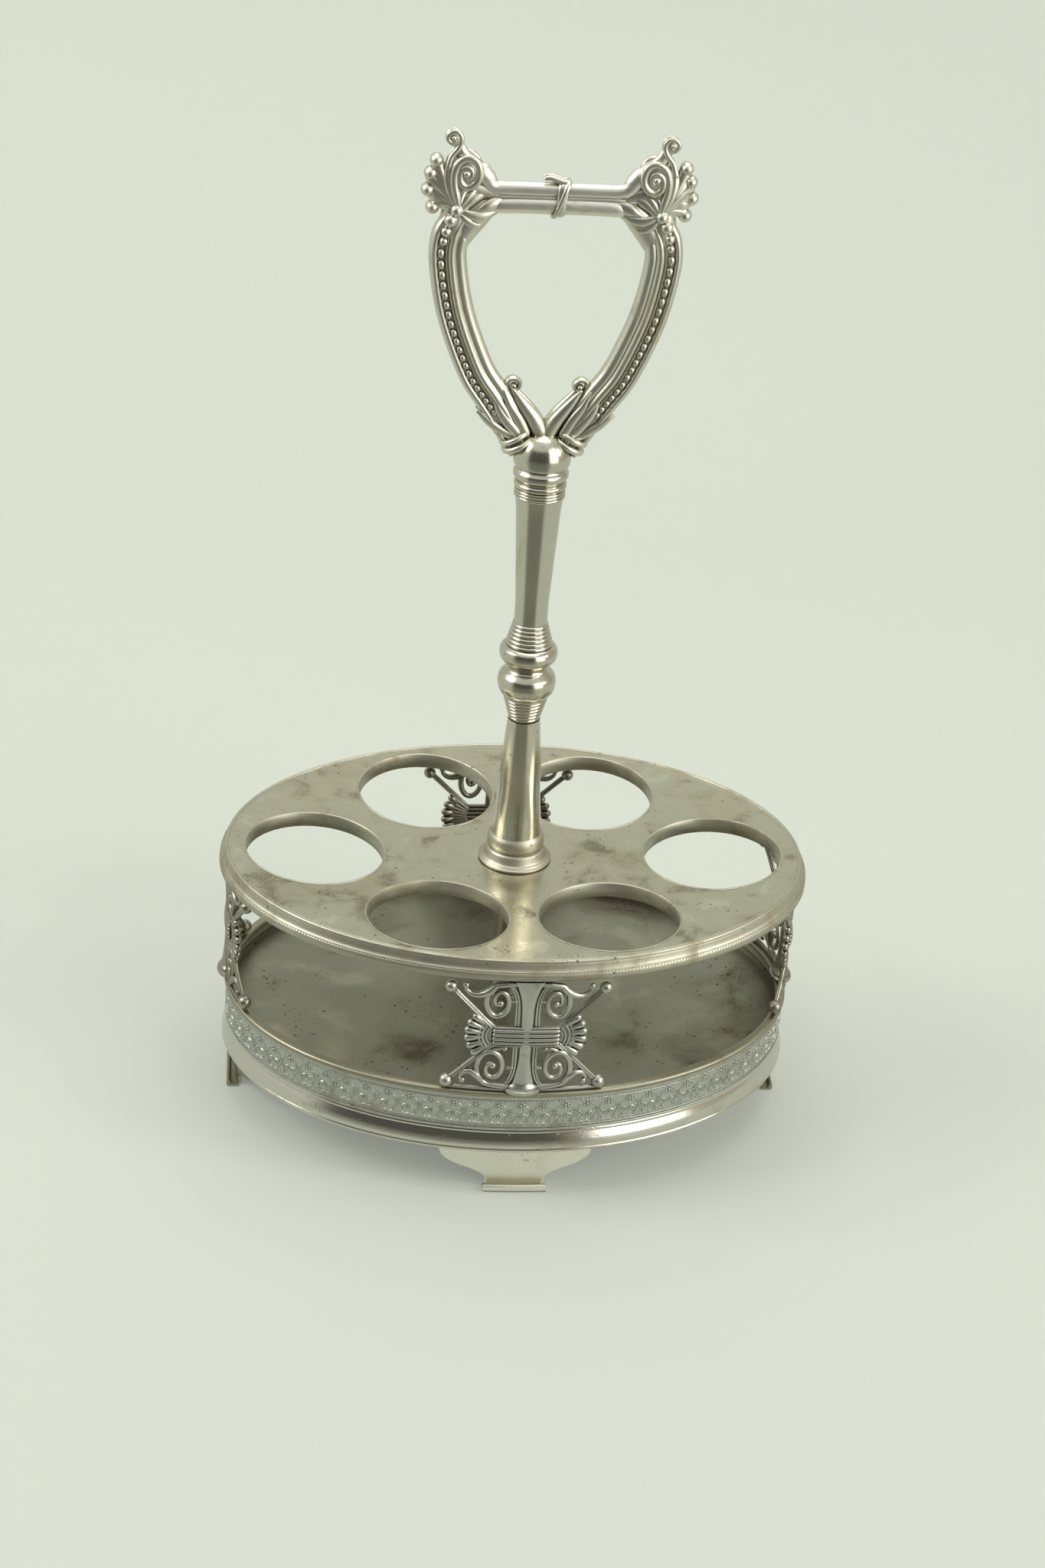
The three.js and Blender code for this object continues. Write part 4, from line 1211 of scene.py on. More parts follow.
@dataclass
class Bracket:
    """Cast bracket of column, strap, rods, scrolls and shells, the same left and right."""

    UPPER: ClassVar[Quarter] = Quarter(
        ball=2.3, ball_inset=4.2, centre=(10.0, 14.6), half=(4.5, 6.7),
        lead=[(4.2, 22.0), (6.6, 21.9)], tie=14.6,
        tendril=[
            (11.8, 20.6), (13.9, 18.3), (16.6, 16.9), (19.6, 16.9), (21.7, 18.6), (22.0, 20.4),
        ],
    )
    LOWER: ClassVar[Quarter] = Quarter(
        ball=2.5, ball_inset=2.9, centre=(11.3, 13.8), half=(5.2, 7.3),
        lead=[(4.6, 21.8), (7.6, 21.6)], tie=13.6,
        tendril=[
            (14.6, 19.4), (16.6, 17.0), (18.8, 15.8), (21.0, 16.4), (22.3, 18.4), (21.4, 19.9),
        ],
    )
    # Rib beside the column, and tail of the lower scrolls, as across and away from the strap
    RIB: ClassVar[Profile] = [(3.05, 3.4), (3.05, 12), (3.5, 16.2), (4.7, 19.6), (6.6, 22.2)]
    TAIL: ClassVar[Profile] = [(12.4, 7.2), (10.6, 6.0), (8.8, 5.2), (7.4, 5.2)]
    # Rise, radius and depth of the strap's reeds, and reach and radius of the shell's rings
    REEDS: ClassVar[Sequence[tuple]] = [(0.85, 0.98, 1.5), (2.5, 0.92, 1.4), (3.75, 0.5, 1.6)]
    RINGS: ClassVar[Profile] = [(5.6, 0.5), (7.0, 0.55), (8.3, 0.42)]
    FLUTES: ClassVar[Sequence[float]] = (-38, -22.8, -7.6, 7.6, 22.8, 38)

    side: Side
    lower: Oval
    upper: Oval
    half_span: float = 27.0
    column: float = 2.2
    column_depth: float = 1.7
    strap_half: float = 11.0
    shell_start: float = 8.2
    scroll_turns: float = 1.58
    scroll_even: float = 0.45
    tall: float = field(init=False)
    wall: Wall = field(init=False)
    piece: Blank = field(init=False)

    def __post_init__(self) -> None:
        """Take the bracket's foot and height from the frame."""
        bottom = span("gallery_wire")[1].z + GAP
        self.tall = span("rim_moulding")[0].z - GAP - bottom
        self.wall = Wall(self.lower, self.upper, self.side.angle, bottom, self.tall)
        self.piece = Blank(f"bracket_cast_{self.side.node_end}")

    def build(self) -> None:
        """Make the bracket's parts as one piece."""
        self.post()
        self.strap()
        self.rails()
        for across in (-1, 1):
            self.shell(across)
            for up in (-1, 1):
                self.quarter(across, up)
        # The side and back brackets take the darker SHADED copy of the cast finish as painted shade
        finish = Finish.CAST if self.side is Side.FRONT else Finish.SHADED
        self.piece.finish(finish, [f"bracket_{self.side.node_end}"], crease=50)

    def _placed(self, points: Profile, across: int, up: int) -> list[Point]:
        """Return points of across and away from the strap as they stand in one quarter."""
        return [(across * w, self.tall / 2 + up * z) for w, z in points]

    def _strand(self, points: Profile, radii: Sequence[float], steps: int = 5) -> None:
        """Add a strand along a smooth line of across and up, with radii spread over its length.

        Args:
            points: Points that it passes.
            radii: Radii, spread evenly.
            steps: Steps between two points.
        """
        line = spline([(x, 0.0, z) for x, z in points], steps)
        spread = []
        for i in range(len(line)):
            along = i / (len(line) - 1) * (len(radii) - 1)
            first = min(int(along), len(radii) - 1)
            after = min(first + 1, len(radii) - 1)
            spread.append(radii[first] + (along - first) * (radii[after] - radii[first]))
        self.piece.strand(line, spread, 8, bend=self.wall.bend)

    def _knob(self, place: Point, depth: float, radius: float, flat: float) -> None:
        """Add a ball at a place of across and up and at a depth, flattened to a share."""
        x, z = place
        self.piece.ball(Vector((x, depth, z)), radius, (1, flat, 1), self.wall.bend)

    def post(self) -> None:
        """Make the column with its head, its ringed foot and the ribs beside it."""
        h, r = self.tall, self.column
        profile = [
            (0, 0.3), (6.2, 0.3), (6.5, 0.8), (6.3, 1.5), (5.2, 1.9), (5.3, 2.5), (4.9, 3.1),
            (4.0, 3.7), *spline([(3.7, 4.6), (3.2, 7.0), (2.6, 10.5), (r, 14.5)], 3), (r, 29),
            *spline(
                [(r, 31), (2.35, 35), (2.8, 38.5), (3.5, 41.6), (4.5, h - 2.4), (5.3, h - 1.3)], 3
            ),
            (5.4, h - 0.1), (0, h - 0.1),
        ]

        def flat(place: Vector) -> Vector:
            """Bend a point on to the wall, with the upper half kept shallow under the rim.

            Args:
                place: The point.

            Returns:
                Its place.
            """
            limit = self.column_depth if place.z > h / 2 else math.inf
            shallow = max(-limit, min(limit, place.y))
            return self.wall.bend(Vector((place.x, shallow, place.z)))

        self.piece.turned(profile, 28, Matrix.Diagonal((1, 0.62, 1, 1)), flat)
        for across in (-1, 1):
            for up in (-1, 1):
                for shift in (0.0, 0.95):
                    rib = [(w + shift, z) for w, z in self.RIB]
                    self._strand(self._placed(rib, across, up), [0.56 - 0.12 * shift])

    def _level(self, half: float, rise: float, depth: float, steps: int) -> list[Vector]:
        """Return a level line across the bracket, with that many steps in each half."""
        return [Vector((half * (i / steps - 1), depth, rise)) for i in range(2 * steps + 1)]

    def strap(self) -> None:
        """Make the strap of four reeds between two fine edges."""
        for rise, radius, deep in self.REEDS:
            for up in (-1, 1):
                line = self._level(self.strap_half, self.tall / 2 + up * rise, -0.35, 8)
                self.piece.strand(line, [radius], 12, deep, bend=self.wall.bend)

    def rails(self) -> None:
        """Make the foot rail between the lower balls and the short head rail."""
        foot = (self.half_span, 0.75, 0.72, 1.0)
        head = (7.6, self.tall - 0.9, 0.7, 2.3)
        for half, rise, radius, deep in (foot, head):
            line = self._level(half, rise, 0, 12)
            self.piece.strand(line, [radius], 8, deep, bend=self.wall.bend)

    def _ray(
        self, across: int, turn: float, depth: float, reaches: Sequence[float]
    ) -> list[Vector]:
        """Return points on a ray from the shell's hub.

        Args:
            across: -1 for the left shell and 1 for the right.
            turn: Angle of the ray in degrees, up from level.
            depth: How far it stands inwards.
            reaches: Distances from the hub.

        Returns:
            The points.
        """
        aim = math.radians(turn)
        way = Vector((across * math.cos(aim), 0, math.sin(aim)))
        hub = Vector((across * self.shell_start, depth, self.tall / 2))
        return [hub + way * reach for reach in reaches]

    def shell(self, across: int) -> None:
        """Make the shell at one end of the strap: its flutes, inner rings and web.

        Args:
            across: -1 for the left end and 1 for the right.
        """
        bend = self.wall.bend
        for turn in self.FLUTES:
            line = self._ray(across, turn, 0, (7.6, 9.2, 10.8, 12.1))
            self.piece.strand(line, [0.55, 1.0, 1.42, 1.5], 10, 0.9, bend=bend)
        for reach, radius in self.RINGS:
            ring = arc((self.shell_start, self.tall / 2), reach, -46, 46, 12)
            line = [Vector((across * x, -0.1, z)) for x, z in ring]
            self.piece.strand(line, [radius], 8, bend=bend)
        for turn in range(-40, 41, 10):
            line = self._ray(across, turn, 0.3, (4.0, 6.5, 9.2))
            self.piece.strand(line, [0.9, 1.0, 1.1], 6, 0.55, bend=bend)

    def quarter(self, across: int, up: int) -> None:
        """Make one quarter: rod and ball, scroll with its tie, and tendril.

        Args:
            across: -1 for the left side and 1 for the right.
            up: -1 for the lower half and 1 for the upper.
        """
        shape = self.UPPER if up > 0 else self.LOWER
        self._rod(shape, across, up)
        self._scroll(shape, across, up)
        tie = [(4.1, shape.tie), (6.1, shape.tie)]
        self._strand(self._placed(tie, across, up), [0.62, 0.62], 3)
        if up < 0:
            self._strand(self._placed(self.TAIL, across, up), [0.7, 0.85, 0.75, 0.6], 3)
            self._knob(self._placed([(7.1, 5.3)], across, up)[0], -0.1, 1.05, 0.85)
        tendril = self._placed(shape.tendril, across, up)
        self._strand(tendril, [1.2, 1.6, 1.35, 1.05, 0.8, 0.7], 4)
        self._knob(tendril[-1], -0.15, 1.2, 0.85)

    def _rod(self, shape: Quarter, across: int, up: int) -> None:
        """Make a quarter's double rod and the ball at its end.

        Args:
            shape: Sizes of the quarter.
            across: -1 for left and 1 for right.
            up: -1 for below and 1 for above.
        """
        rise = self.tall / 2 - shape.ball_inset
        ends = self._placed([(11.6, 3.6), (self.half_span - 0.5, rise - 0.4)], across, up)
        near, far = (Vector((x, 0, z)) for x, z in ends)
        aside = Vector((near.z - far.z, 0, far.x - near.x)).normalized() * 0.42
        for shift in (aside, -aside):
            line = [near.lerp(far, step / 8) + shift for step in range(9)]
            self.piece.strand(line, [0.62], 8, 1.15, bend=self.wall.bend)
        corner = self._placed([(self.half_span, rise)], across, up)[0]
        self._knob(corner, 0, shape.ball, 1)

    def _scroll(self, shape: Quarter, across: int, up: int) -> None:
        """Make a quarter's scroll, a spiral that keeps its size at first, and its eye.

        Args:
            shape: Sizes of the quarter.
            across: -1 for left and 1 for right.
            up: -1 for below and 1 for above.
        """
        (x, z), (wide, tall) = shape.centre, shape.half
        even, steps = self.scroll_even, 26
        spiral = list(shape.lead)
        for step in range(steps + 1):
            along = step / steps * self.scroll_turns
            gone = max(0.0, along - even) / (self.scroll_turns - even)
            shrink = 1 - 0.84 * gone**0.86
            aim = math.radians(92) - 2 * math.pi * along
            spiral.append((x + shrink * wide * math.cos(aim), z + shrink * tall * math.sin(aim)))
        points = self._placed(spiral, across, up)
        self._strand(points, [1.15, 1.15, 1.1, 1.0, 0.92, 0.88, 0.84], 2)
        self._knob(points[-1], -0.25, 1.25, 0.8)


# Stem


@dataclass
class Stem:
    """Turned pieces from the plate up to the dome that holds the arms."""

    facets: int = 112
    blind_depth: float = 1.8

    def build(self) -> None:
        """Make every turned piece."""
        self.foot()
        self.lower_tube()
        self.lower_knop()
        self.upper_knop()
        self.upper_tube()
        self.ferrule()
        self.dome()

    def _turn(
        self, name: str, node: str, outer: Iterable[Sequence[float]],
        finish: Finish = Finish.POLISHED,
    ) -> None:
        """Make one bored piece.

        Args:
            name: Name of the piece.
            node: Frame node that it stands for.
            outer: Outer profile from the foot up, as radius and share of the height.
            finish: Its finish.
        """
        low, high = span(node)
        tall = high.z - low.z + GAP
        foot = low.z - GAP / 2
        profile = [(r, foot + share * tall) for r, share in outer]
        piece = Blank(name)
        piece.turned([(BORE, profile[0][1]), *profile, (BORE, profile[-1][1])], self.facets)
        piece.finish(finish, [node], crease=55)

    def _rings(self, count: int, start: Point, end: Point, relief: float) -> list[Point]:
        """Return fine round rings along a cone.

        Args:
            count: Number of rings.
            start: Radius and height share at the first.
            end: Radius and height share at the last.
            relief: Height of a ring above its groove.

        Returns:
            Points of the profile.
        """
        points, steps = [], 6
        for i in range(count):
            for k in range(steps):
                along = (i + k / steps) / count
                swell = relief * math.sin(math.pi * k / steps) ** 0.7
                radius = start[0] + along * (end[0] - start[0]) + swell
                points.append((radius, start[1] + along * (end[1] - start[1])))
        return points

    def foot(self) -> None:
        """Make the foot with its flat flange and torus."""
        r = span("stem_foot")[1].x
        outer = [
            (r - 0.1, 0), (r, 0.02), (r, 0.06), (0.985 * r, 0.085), (0.95 * r, 0.1),
            (0.93 * r, 0.13),
            *spline([(0.92 * r, 0.15), (0.87 * r, 0.2), (0.835 * r, 0.3), (0.8 * r, 0.42)], 4),
            (0.765 * r, 0.46), (0.735 * r, 0.48), (0.735 * r, 0.51),
            *spline(
                [
                    (0.75 * r, 0.52), (0.777 * r, 0.6), (0.785 * r, 0.7), (0.775 * r, 0.8),
                    (0.745 * r, 0.9),
                ],
                4,
            ),
            (0.7 * r, 0.96), (0.68 * r, 1),
        ]
        self._turn("stem_base", "stem_foot", outer, Finish.RIM)

    def lower_tube(self) -> None:
        """Make the tube that narrows upwards in a long curve."""
        r = span("lower_tube")[1].x
        outer = [(r, 0), (r - 0.45, 0.12), (r - 1.2, 0.34)]
        outer += [(r - 2.05, 0.66), (r - 2.7, 0.87), (r - 3.2, 1)]
        self._turn("stem_tube_lower", "lower_tube", spline(outer, 6))

    def lower_knop(self) -> None:
        """Make the lower knop: ringed cone and torus."""
        r = span("lower_knop")[1].x
        outer = [
            *self._rings(7, (5.0, 0), (0.76 * r, 0.485), 0.55), (0.79 * r, 0.487),
            *spline(
                [(0.84 * r, 0.49), (0.95 * r, 0.57), (r, 0.7), (0.96 * r, 0.83), (0.82 * r, 0.92)],
                5,
            ),
            (0.74 * r, 0.945), (0.7 * r, 0.965), (0.68 * r, 1),
        ]
        self._turn("stem_knop_lower", "lower_knop", outer)

    def upper_knop(self) -> None:
        """Make the upper knop: torus and ringed cone."""
        r = span("upper_knop")[1].x
        outer = [
            (0.68 * r, 0), (0.7 * r, 0.04), (0.74 * r, 0.07),
            *spline(
                [(0.82 * r, 0.1), (0.96 * r, 0.2), (r, 0.32), (0.95 * r, 0.43), (0.84 * r, 0.49)],
                5,
            ),
            (0.8 * r, 0.495), *self._rings(6, (0.77 * r, 0.5), (5.6, 1), 0.55), (5.6, 1),
        ]
        self._turn("stem_knop_upper", "upper_knop", outer)

    def upper_tube(self) -> None:
        """Make the tube that widens upwards."""
        r = span("upper_tube")[1].x
        outer = [(r - 2.5, 0), (r - 2.4, 0.19), (r - 1.8, 0.42)]
        outer += [(r - 1.2, 0.65), (r - 0.6, 0.88), (r, 1)]
        self._turn("stem_tube_upper", "upper_tube", spline(outer, 6))

    def ferrule(self) -> None:
        """Make the ferrule: three fine rings, a ring, a torus and a neck."""
        r = span("ferrule")[1].x
        outer = [
            *self._rings(3, (8.5, 0), (0.88 * r, 0.27), 0.4), (0.86 * r, 0.28),
            *spline([(0.9 * r, 0.3), (0.945 * r, 0.35), (0.945 * r, 0.42), (0.9 * r, 0.47)], 4),
            (0.86 * r, 0.49), (0.86 * r, 0.54),
            *spline(
                [
                    (0.91 * r, 0.57), (0.985 * r, 0.64), (r, 0.72), (0.985 * r, 0.8),
                    (0.92 * r, 0.87),
                ],
                4,
            ),
            (0.88 * r, 0.9), (0.88 * r, 0.95), (0.93 * r, 0.97), (0.94 * r, 1),
        ]
        self._turn("stem_ferrule", "ferrule", outer)

    def dome(self) -> None:
        """Make the polished dome with its blind bore."""
        low, high = span("arm_socket")
        r = high.x
        rise = high.z - low.z - r
        centre, foot = low.z + rise, low.z - GAP / 2
        bore_top = centre + self.blind_depth
        profile = [
            (0, bore_top), (BORE, bore_top), (BORE, foot), (0.94 * r, foot),
            (0.97 * r, low.z + 0.3 * rise), *arc((0, centre), r, -12, 90, 20)[:-1], (0, centre + r),
        ]
        piece = Blank("stem_dome")
        piece.turned(profile, self.facets)
        piece.finish(Finish.POLISHED, ["arm_socket"], crease=50)


# Handle


@dataclass
class Handle:
    """Loop handle: two arms, a bar of two rolls with its tie, and the corner scrolls."""

    # Middle line of the right arm, in shares of the loop's half width and height
    LOOP: ClassVar[Profile] = [
        (0.2, 0.03), (0.395, 0.172), (0.515, 0.245), (0.68, 0.345), (0.855, 0.516), (0.945, 0.645),
        (1, 0.79), (0.985, 0.87), (0.93, 0.925), (0.88, 0.955),
    ]
    # Front half of an arm's section, outwards and in depth: strips, channel for beads, rib, roll
    SECTION: ClassVar[Profile] = [
        (-6.3, 0), (-6.2, 1.2), (-5.8, 2.2), (-5.0, 3.0), (-4.0, 3.3), (-3.2, 3.2), (-2.8, 2.9),
        (-2.55, 3.1), (-2.2, 3.6), (-1.7, 3.95), (-1.2, 4.05), (-0.65, 3.95), (-0.2, 3.55),
        (0.0, 3.2), (0.12, 3.3), (0.35, 3.6), (0.65, 3.6), (0.85, 3.3), (0.95, 2.7), (1.05, 2.1),
        (3.45, 2.1), (3.6, 2.6), (3.8, 3.1), (4.3, 3.35), (5.0, 3.25), (5.7, 2.6), (6.15, 1.6),
        (6.3, 0),
    ]
    # Rise, reach and thickness of the collars at an arm's foot
    COLLARS: ClassVar[Sequence[tuple]] = [(2.6, 6.5, 1.15), (5.6, 6.0, 0.95)]
    # Husk leaves as [points of across and height over the dome, depth, radii at the root, the
    # middle and the tip, sides, depth as a share], the curl between them and the ball in it
    LEAVES: ClassVar[Sequence[tuple]] = [
        (
            [(9.5, 7.5), (14.0, 9.5), (18.5, 12.6), (21.4, 15.3), (23.1, 16.4)],
            2.4, (1.5, 2.0, 0.5), 10, 0.7,
        ),
        ([(9.5, 9.5), (13.0, 13.5), (16.0, 18.0), (17.6, 22.6)], 3.3, (1.7, 2.2, 0.35), 10, 0.55),
        ([(1.3, 9.4), (4.0, 14.2), (8.0, 19.6), (11.4, 24.4)], 2.0, (2.7, 3.1, 0.6), 12, 0.8),
        ([(6.6, 9.5), (9.4, 14.6), (12.4, 19.2), (14.6, 24.6)], 3.3, (1.7, 2.1, 0.3), 10, 0.55),
    ]
    CURL: ClassVar[tuple] = (
        [
            (6.6, 12.5), (9.5, 18.2), (11.6, 21.6), (13.4, 24.6), (13.2, 27.2), (11.2, 28.0),
            (9.3, 26.6), (9.5, 24.6), (10.8, 24.3),
        ],
        0.0, (1.3, 0.95, 0.75), 10, 1.9,
    )
    CURL_TIP: ClassVar[Point] = (11.2, 25.4)

    # Right ends of the two rolls, as across, height over the bar and radius
    LOWER_ROLL: ClassVar[Sequence[tuple]] = [
        (12.0, -0.05, 2.95), (19.0, -0.3, 2.9), (22.0, -0.6, 2.3), (24.4, -1.0, 1.5),
        (26.8, -1.3, 0.4),
    ]
    UPPER_ROLL: ClassVar[Sequence[tuple]] = [
        (12.0, 5.15, 2.5), (19.6, 5.2, 2.5), (22.4, 6.2, 2.6), (24.0, 8.4, 3.0), (25.8, 10.4, 3.3),
    ]
    # The tie's turns as lean, breadth and radii below and above, and its knot's points
    TURNS: ClassVar[Sequence[tuple]] = [(0.05, 1.6, 3.3, 2.85), (0.36, 0.85, 3.8, 3.35)]
    KNOT: ClassVar[Profile] = [(-5.0, 9.6), (-3.2, 9.7), (-1.2, 9.1), (0.8, 8.5), (2.6, 8.2)]

    # Corner scroll, as knots of across, height over the bar, depth and radius. Body: post, elbow,
    # flare, its upper arm, and two lobes of the fan
    BODY: ClassVar[Sequence[Sequence[Knot]]] = [
        [(34.4, -9.5, 0, 5.2), (33.6, -4.0, 0, 5.0), (33.0, 1.5, 0, 4.4), (32.0, 6.0, 0, 4.0)],
        [
            (20.6, -0.5, 0, 2.8), (24.0, -1.7, 0, 4.0), (27.4, -4.4, 0, 4.8), (30.2, -8.2, 0, 4.7),
            (32.5, -12, 0, 4.3),
        ],
        [(20.5, 3.0, 0, 2.5), (24.5, 3.8, 0, 3.0), (29.0, 4.5, 0, 3.5)],
        [
            (24.8, 8.4, 0, 2.8), (27.6, 11.8, 0, 2.8), (30.4, 14.0, 0, 2.6), (32.5, 16.2, 0, 2.3),
            (33.6, 18.6, 0, 1.9),
        ],
        [
            (34.0, 0.0, 0, 4.6), (37.0, 4.6, 0, 4.3), (38.8, 7.6, 0, 3.6), (39.8, 10.4, 0, 2.8),
            (40.4, 12.4, 0, 1.9),
        ],
        [(34.0, -1.0, 0, 4.0), (37.4, 1.6, 0, 4.0), (40.2, 2.8, 0, 3.6), (41.8, 3.4, 0, 2.6)],
    ]
    # Leaves on each face: sheaf towards the bar, petals by the volute, then the fan
    PETALS: ClassVar[Sequence[Sequence[Knot]]] = [
        [
            (18.5, 0.5, 1.0, 2.2), (21.4, 0.3, 2.0, 2.2), (24.0, -0.5, 2.9, 1.7),
            (26.6, -1.7, 3.5, 0.5),
        ],
        [
            (21.4, -2.4, 2.2, 0.6), (24.2, -3.4, 2.8, 1.5), (27.2, -3.7, 3.2, 1.7),
            (29.8, -3.1, 3.4, 1.4), (32, -2, 3.5, 0.9),
        ],
        [
            (24.6, -5.6, 2.3, 0.7), (26.6, -6.6, 2.9, 1.3), (28.8, -6.2, 3.2, 1.5),
            (30.8, -4.8, 3.4, 1.3), (32.6, -3, 3.5, 0.8),
        ],
        [
            (32.3, -1.5, 3.6, 0.8), (31.0, -0.5, 3.3, 1.2), (28.4, 1.6, 2.7, 1.5),
            (25.8, 3.0, 2.0, 1.3), (23.4, 3.8, 1.5, 0.5),
        ],
        [
            (32.5, -1.2, 3.7, 0.6), (32.0, 0.0, 3.5, 1.05), (30.2, 2.4, 3.1, 1.25),
            (28.4, 4.1, 2.6, 1.0), (27, 5.2, 2.1, 0.4),
        ],
        [
            (32.9, -0.9, 3.7, 0.6), (32.7, 0.6, 3.6, 1.0), (32.2, 2.6, 3.2, 1.1),
            (31.0, 4.6, 2.8, 0.6),
        ],
        [
            (33.4, -0.8, 3.8, 0.6), (34.6, 1.2, 3.5, 1.1), (36.0, 4.8, 3.1, 1.5),
            (36.8, 8.4, 2.6, 1.6), (36.9, 12, 2.0, 1.25),
        ],
        [
            (33.8, -0.7, 3.6, 0.6), (35.8, 3.4, 3.0, 1.2), (37.9, 7.0, 2.3, 1.6),
            (39.4, 10.2, 1.6, 1.85), (40.4, 13.2, 1.2, 1.9),
        ],
        [
            (34.1, -0.9, 3.6, 0.6), (36.1, 2.1, 3.1, 1.2), (38.5, 4.9, 2.4, 1.6),
            (40.7, 6.9, 1.7, 1.8), (42.2, 8.1, 1.3, 1.9),
        ],
        [
            (34.2, -1.1, 3.6, 0.5), (36.2, 1.1, 3.1, 1.0), (38.9, 2.9, 2.4, 1.35),
            (41.2, 3.9, 1.7, 1.7), (42.9, 4.1, 1.3, 1.9),
        ],
        [
            (34.2, -1.4, 3.5, 0.5), (35.9, -0.1, 3.1, 0.95), (38.2, 0.2, 2.5, 1.25),
            (40.1, -0.5, 1.8, 1.5), (41.3, -1.6, 1.4, 1.8),
        ],
    ]
    VOLUTE: ClassVar[Sequence[Knot]] = [
        (33.1, -0.3, 3.6, 0.7), (33.8, 2.4, 3.3, 1.25), (34.7, 6.0, 3.1, 1.4),
        (34.9, 9.9, 3.1, 1.4), (33.9, 13.2, 3.1, 1.35), (32.1, 15.0, 3.1, 1.3),
        (30.0, 15.5, 3.1, 1.3), (28.0, 14.4, 3.1, 1.3), (26.9, 12.1, 3.1, 1.3),
        (26.8, 9.4, 3.1, 1.3), (28.1, 7.0, 3.1, 1.3), (30.4, 5.9, 3.1, 1.25),
        (32.4, 6.9, 3.15, 1.2), (33.1, 9.3, 3.2, 1.15), (32.6, 11.3, 3.25, 1.1),
        (31.1, 12.4, 3.3, 1.05), (29.6, 11.8, 3.35, 1.0), (29.2, 10.3, 3.4, 0.9),
        (29.8, 9.2, 3.45, 0.8),
    ]
    STALK: ClassVar[Sequence[Knot]] = [
        (36.9, 12.0, 2.1, 1.15), (35.9, 15.4, 1.5, 1.0), (34.2, 17.6, 1.2, 0.95),
        (33.2, 19.6, 1.1, 0.92), (33.1, 21.6, 1.1, 0.9), (34.1, 23.1, 1.1, 0.9),
        (35.6, 23.4, 1.1, 0.88), (37.1, 22.4, 1.1, 0.86), (37.3, 20.8, 1.1, 0.82),
        (36.1, 19.8, 1.15, 0.72), (34.9, 20.5, 1.2, 0.55),
    ]
    BEADS: ClassVar[Sequence[Knot]] = [
        (33.6, -1.9, 3.4, 2.1), (30.9, 10.4, 3.4, 1.3), (35.5, 21.4, 1.3, 0.9),
        (35.4, -5.2, 3.4, 2.2), (36.7, -9.2, 3.0, 1.75), (37.3, -12.6, 2.6, 1.5),
    ]
    # Balls at the fan's tips, and across, height, radius and half depth of the scrolls' drums
    TIPS: ClassVar[Profile] = [(40.7, 13.9), (42.4, 9.5), (43.2, 4.0), (41.4, -1.8)]
    DRUMS: ClassVar[Sequence[Knot]] = [(30.9, 10.6, 5.4, 3.4), (35.3, 21.3, 2.6, 1.5)]

    half_width: float = 35.6
    lower_roll: float = 2.9
    upper_rise: float = 5.15
    channel: float = 2.25
    first_bead: float = 17.0
    petal_sink: float = 0.5
    petal_swell: float = 1.05
    centre: float = field(init=False)
    bar: float = field(init=False)

    def __post_init__(self) -> None:
        """Take the dome's centre and the bar's height from the frame."""
        _, high = span("arm_socket")
        self.centre = high.z - high.x
        self.bar = span("lower_bar")[1].z - self.lower_roll

    def build(self) -> None:
        """Make every piece of the handle."""
        self.bars()
        self.tie()
        for across in (-1, 1):
            self.arm(across)
            self.corner(across)

    def _path(self) -> list[Vector]:
        """Return the middle line of the right arm, from the dome to the corner."""
        wide, tall = self.half_width, self.bar - self.centre
        return spline([(x * wide, 0, self.centre + z * tall) for x, z in self.LOOP], 9)

    def _mirror(self, piece: Blank, across: int) -> None:
        """Turn a piece drawn for the right side into the left one where it is wanted."""
        if across < 0:
            bmesh.ops.scale(piece.mesh, vec=(-1, 1, 1), verts=piece.mesh.verts)

    def _station(self, place: Vector, ahead: Vector, grow: float = 1.0) -> Matrix:
        """Return a matrix with X outwards, Y to the back and Z along the path.

        Args:
            place: Point of the path.
            ahead: Direction of the path there.
            grow: Size of the section, as a share of the full one.

        Returns:
            The matrix.
        """
        out = Vector((ahead.z, 0, -ahead.x))
        turned = Matrix((out, Vector((0, 1, 0)), ahead)).transposed().to_4x4()
        return Matrix.Translation(place) @ turned @ Matrix.Diagonal((grow, grow, 1, 1))

    def arm(self, across: int) -> None:
        """Make an arm with its strips, beads, rib, roll, collars and husk leaves.

        Args:
            across: -1 for the left arm and 1 for the right.
        """
        path = self._path()
        ahead = headings(path)
        gone = [0.0]
        for before, here in zip(path, path[1:]):
            gone.append(gone[-1] + (here - before).length)
        stations = []
        for place, way, here in zip(path, ahead, gone):
            grow = min(1.0, 0.8 + here / 70, 0.8 + (gone[-1] - here) / 40)
            stations.append(self._station(place, way, grow))
        piece = Blank(f"arm_{end_name(across)}")
        back = [(u, -v) for u, v in self.SECTION[-2:0:-1]]
        piece.carried([*self.SECTION, *back], stations)
        self._bead_row(piece, path, ahead, gone)
        foot = self._station(path[0], ahead[0])
        for rise, reach, thick in self.COLLARS:
            ring = [(reach - thick + x, rise + z) for x, z in arc((0, 0), thick, 0, 330, 11)]
            outer = [point for point in ring if point[0] >= reach - thick]
            outer.sort(key=lambda point: point[1])
            outer = [(2.0, rise - 0.6), *outer, (2.0, rise + 0.6)]
            piece.turned([(0, outer[0][1]), *outer, (0, outer[-1][1])], 48, foot)
        self._husk(piece)
        self._mirror(piece, across)
        piece.finish(Finish.ORNAMENT, [f"handle_arm_{end_name(across)}"], crease=50)

